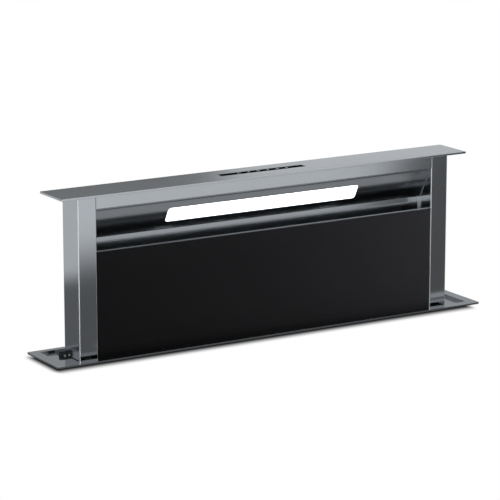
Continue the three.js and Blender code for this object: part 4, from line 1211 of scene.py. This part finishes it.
low, high = span("trim_frame")
rim = copy_to(frame["nodes"]["trim_frame"], ORIGIN)
rim.name = "rim_frame"
rim.parent = None
rim.matrix_world = Matrix.Identity(4)
lone(rim)
bpy.ops.object.mode_set(mode="EDIT")
bpy.ops.mesh.select_all(action="SELECT")
bpy.ops.mesh.remove_doubles(threshold=TOUCHING)
bpy.ops.mesh.dissolve_limited(angle_limit=SAME_PLANE)
pick(rim, "edges", lambda e: is_upright(e) and abs(e.verts[0].co.x) > high.x - NEAR_END)
bpy.ops.mesh.bevel(offset=FRAME_CORNER, segments=5, affect="EDGES")
bpy.ops.object.mode_set(mode="OBJECT")
soften(rim, FRAME_ARRIS, 2)
finish_piece(rim, "base", "brushed_steel", steel_rim, "trim_frame")

# %% [markdown]
# ## Harness clip
# Behind the left column a nylon block carries the lamp's wires down into the body, and a small
# steel tab on its front catches the light. Both are a few millimetres large, so blocks with
# well-rounded edges show all that the photograph shows. One block with two materials would do for a
# picture, but the two are separate pieces on the real unit.

# %% Clip block and tab
BLOCK_ROUNDING = 1.0 * MM
CLIP_TAB_SIZE = Vector((5.0 * MM, 2.0 * MM, 3.0 * MM))
CLIP_TAB_INSET = 1.5 * MM
CLIP_TAB_DROP = 9.0 * MM
CLIP_TAB_ROUNDING = 0.4 * MM

low, high = span("harness_clip")
block = start_block("clip_block", low, high)
soften(block, BLOCK_ROUNDING, 3)
finish_piece(block, "head", "black_nylon", black_nylon, "harness_clip")

tab_low = Vector((
    high.x - CLIP_TAB_INSET - CLIP_TAB_SIZE.x, low.y - CLIP_TAB_SIZE.y / 2, high.z - CLIP_TAB_DROP,
))
spring = start_block("clip_spring", tab_low, tab_low + CLIP_TAB_SIZE)
soften(spring, CLIP_TAB_ROUNDING, 3)
finish_piece(spring, "head", "bright_steel", steel_turned)

# %% [markdown]
# ## Screw heads under the worktop
# The housing's front and rear sheets are screwed down both ends, and the fan casing's cover and
# the mains box's lid are screwed shut. Heads could be drawn as a bump in the material, but from
# below they stand out against the sheet. One pan head is modelled from a cylinder: its outer face
# is inset and pushed in for the driver's recess, and its rims are rounded.

# %% One screw head
HEAD_RADIUS = 4.0 * MM
HEAD_HEIGHT = 2.0 * MM
HEAD_ROUNDING = 0.5 * MM
RECESS_RADIUS = 1.7 * MM
RECESS_DEPTH = 1.1 * MM

bpy.ops.object.select_all(action="DESELECT")
bpy.ops.mesh.primitive_cylinder_add(
    vertices=24, radius=HEAD_RADIUS, depth=HEAD_HEIGHT, rotation=(QUARTER_TURN, 0.0, 0.0),
)
pattern = bpy.context.object
settle()
bpy.ops.object.mode_set(mode="EDIT")
pick(pattern, "faces", lambda f: f.normal.y < -SQUARE_TO_AXIS)
bpy.ops.mesh.inset(thickness=HEAD_RADIUS - RECESS_RADIUS)
pull((0.0, RECESS_DEPTH, 0.0))
bpy.ops.object.mode_set(mode="OBJECT")
soften(pattern, HEAD_ROUNDING, 2)
print("screw head faces:", len(pattern.data.polygons))

# %% [markdown]
# ## Rows of screws
# Each screwed sheet has a row of heads down both its ends. A table says which sheets, which way
# they face and how many heads a row has. The heads are copies of the one above, turned about for
# the rear sheet, and they are joined into one piece. Instances would be lighter, but each piece
# needs a mesh of its own.

# %% Copies in rows down both ends of each sheet
HEAD_SUNK = 0.1 * MM
HEAD_INSET = 9.0 * MM
BELOW_WORKTOP = -0.1
SCREWED_SHEETS = (
    # CAD node, which way it faces along Y, heads in a row
    ("housing_rear_panel", 1, 6),
    ("housing_front_panel", -1, 6),
    ("fan_casing", -1, 3),
    ("control_box_lid", -1, 2),
)

heads = []
for node, outward, rows in SCREWED_SHEETS:
    low, high = span(node)
    face = high.y if outward > 0 else low.y
    foot = low.z + HEAD_INSET
    step = (min(high.z - HEAD_INSET, BELOW_WORKTOP) - foot) / (rows - 1)
    stand = face + outward * (HEAD_HEIGHT / 2 - HEAD_SUNK)
    for x in (low.x + HEAD_INSET, high.x - HEAD_INSET):
        for row in range(rows):
            turn = math.pi if outward > 0 else 0.0
            heads.append(copy_to(pattern, (x, stand, foot + row * step), turn))
bpy.data.objects.remove(pattern)
screws = join_all(heads, "screw_heads")
finish_piece(screws, "base", "bright_steel", steel_turned)
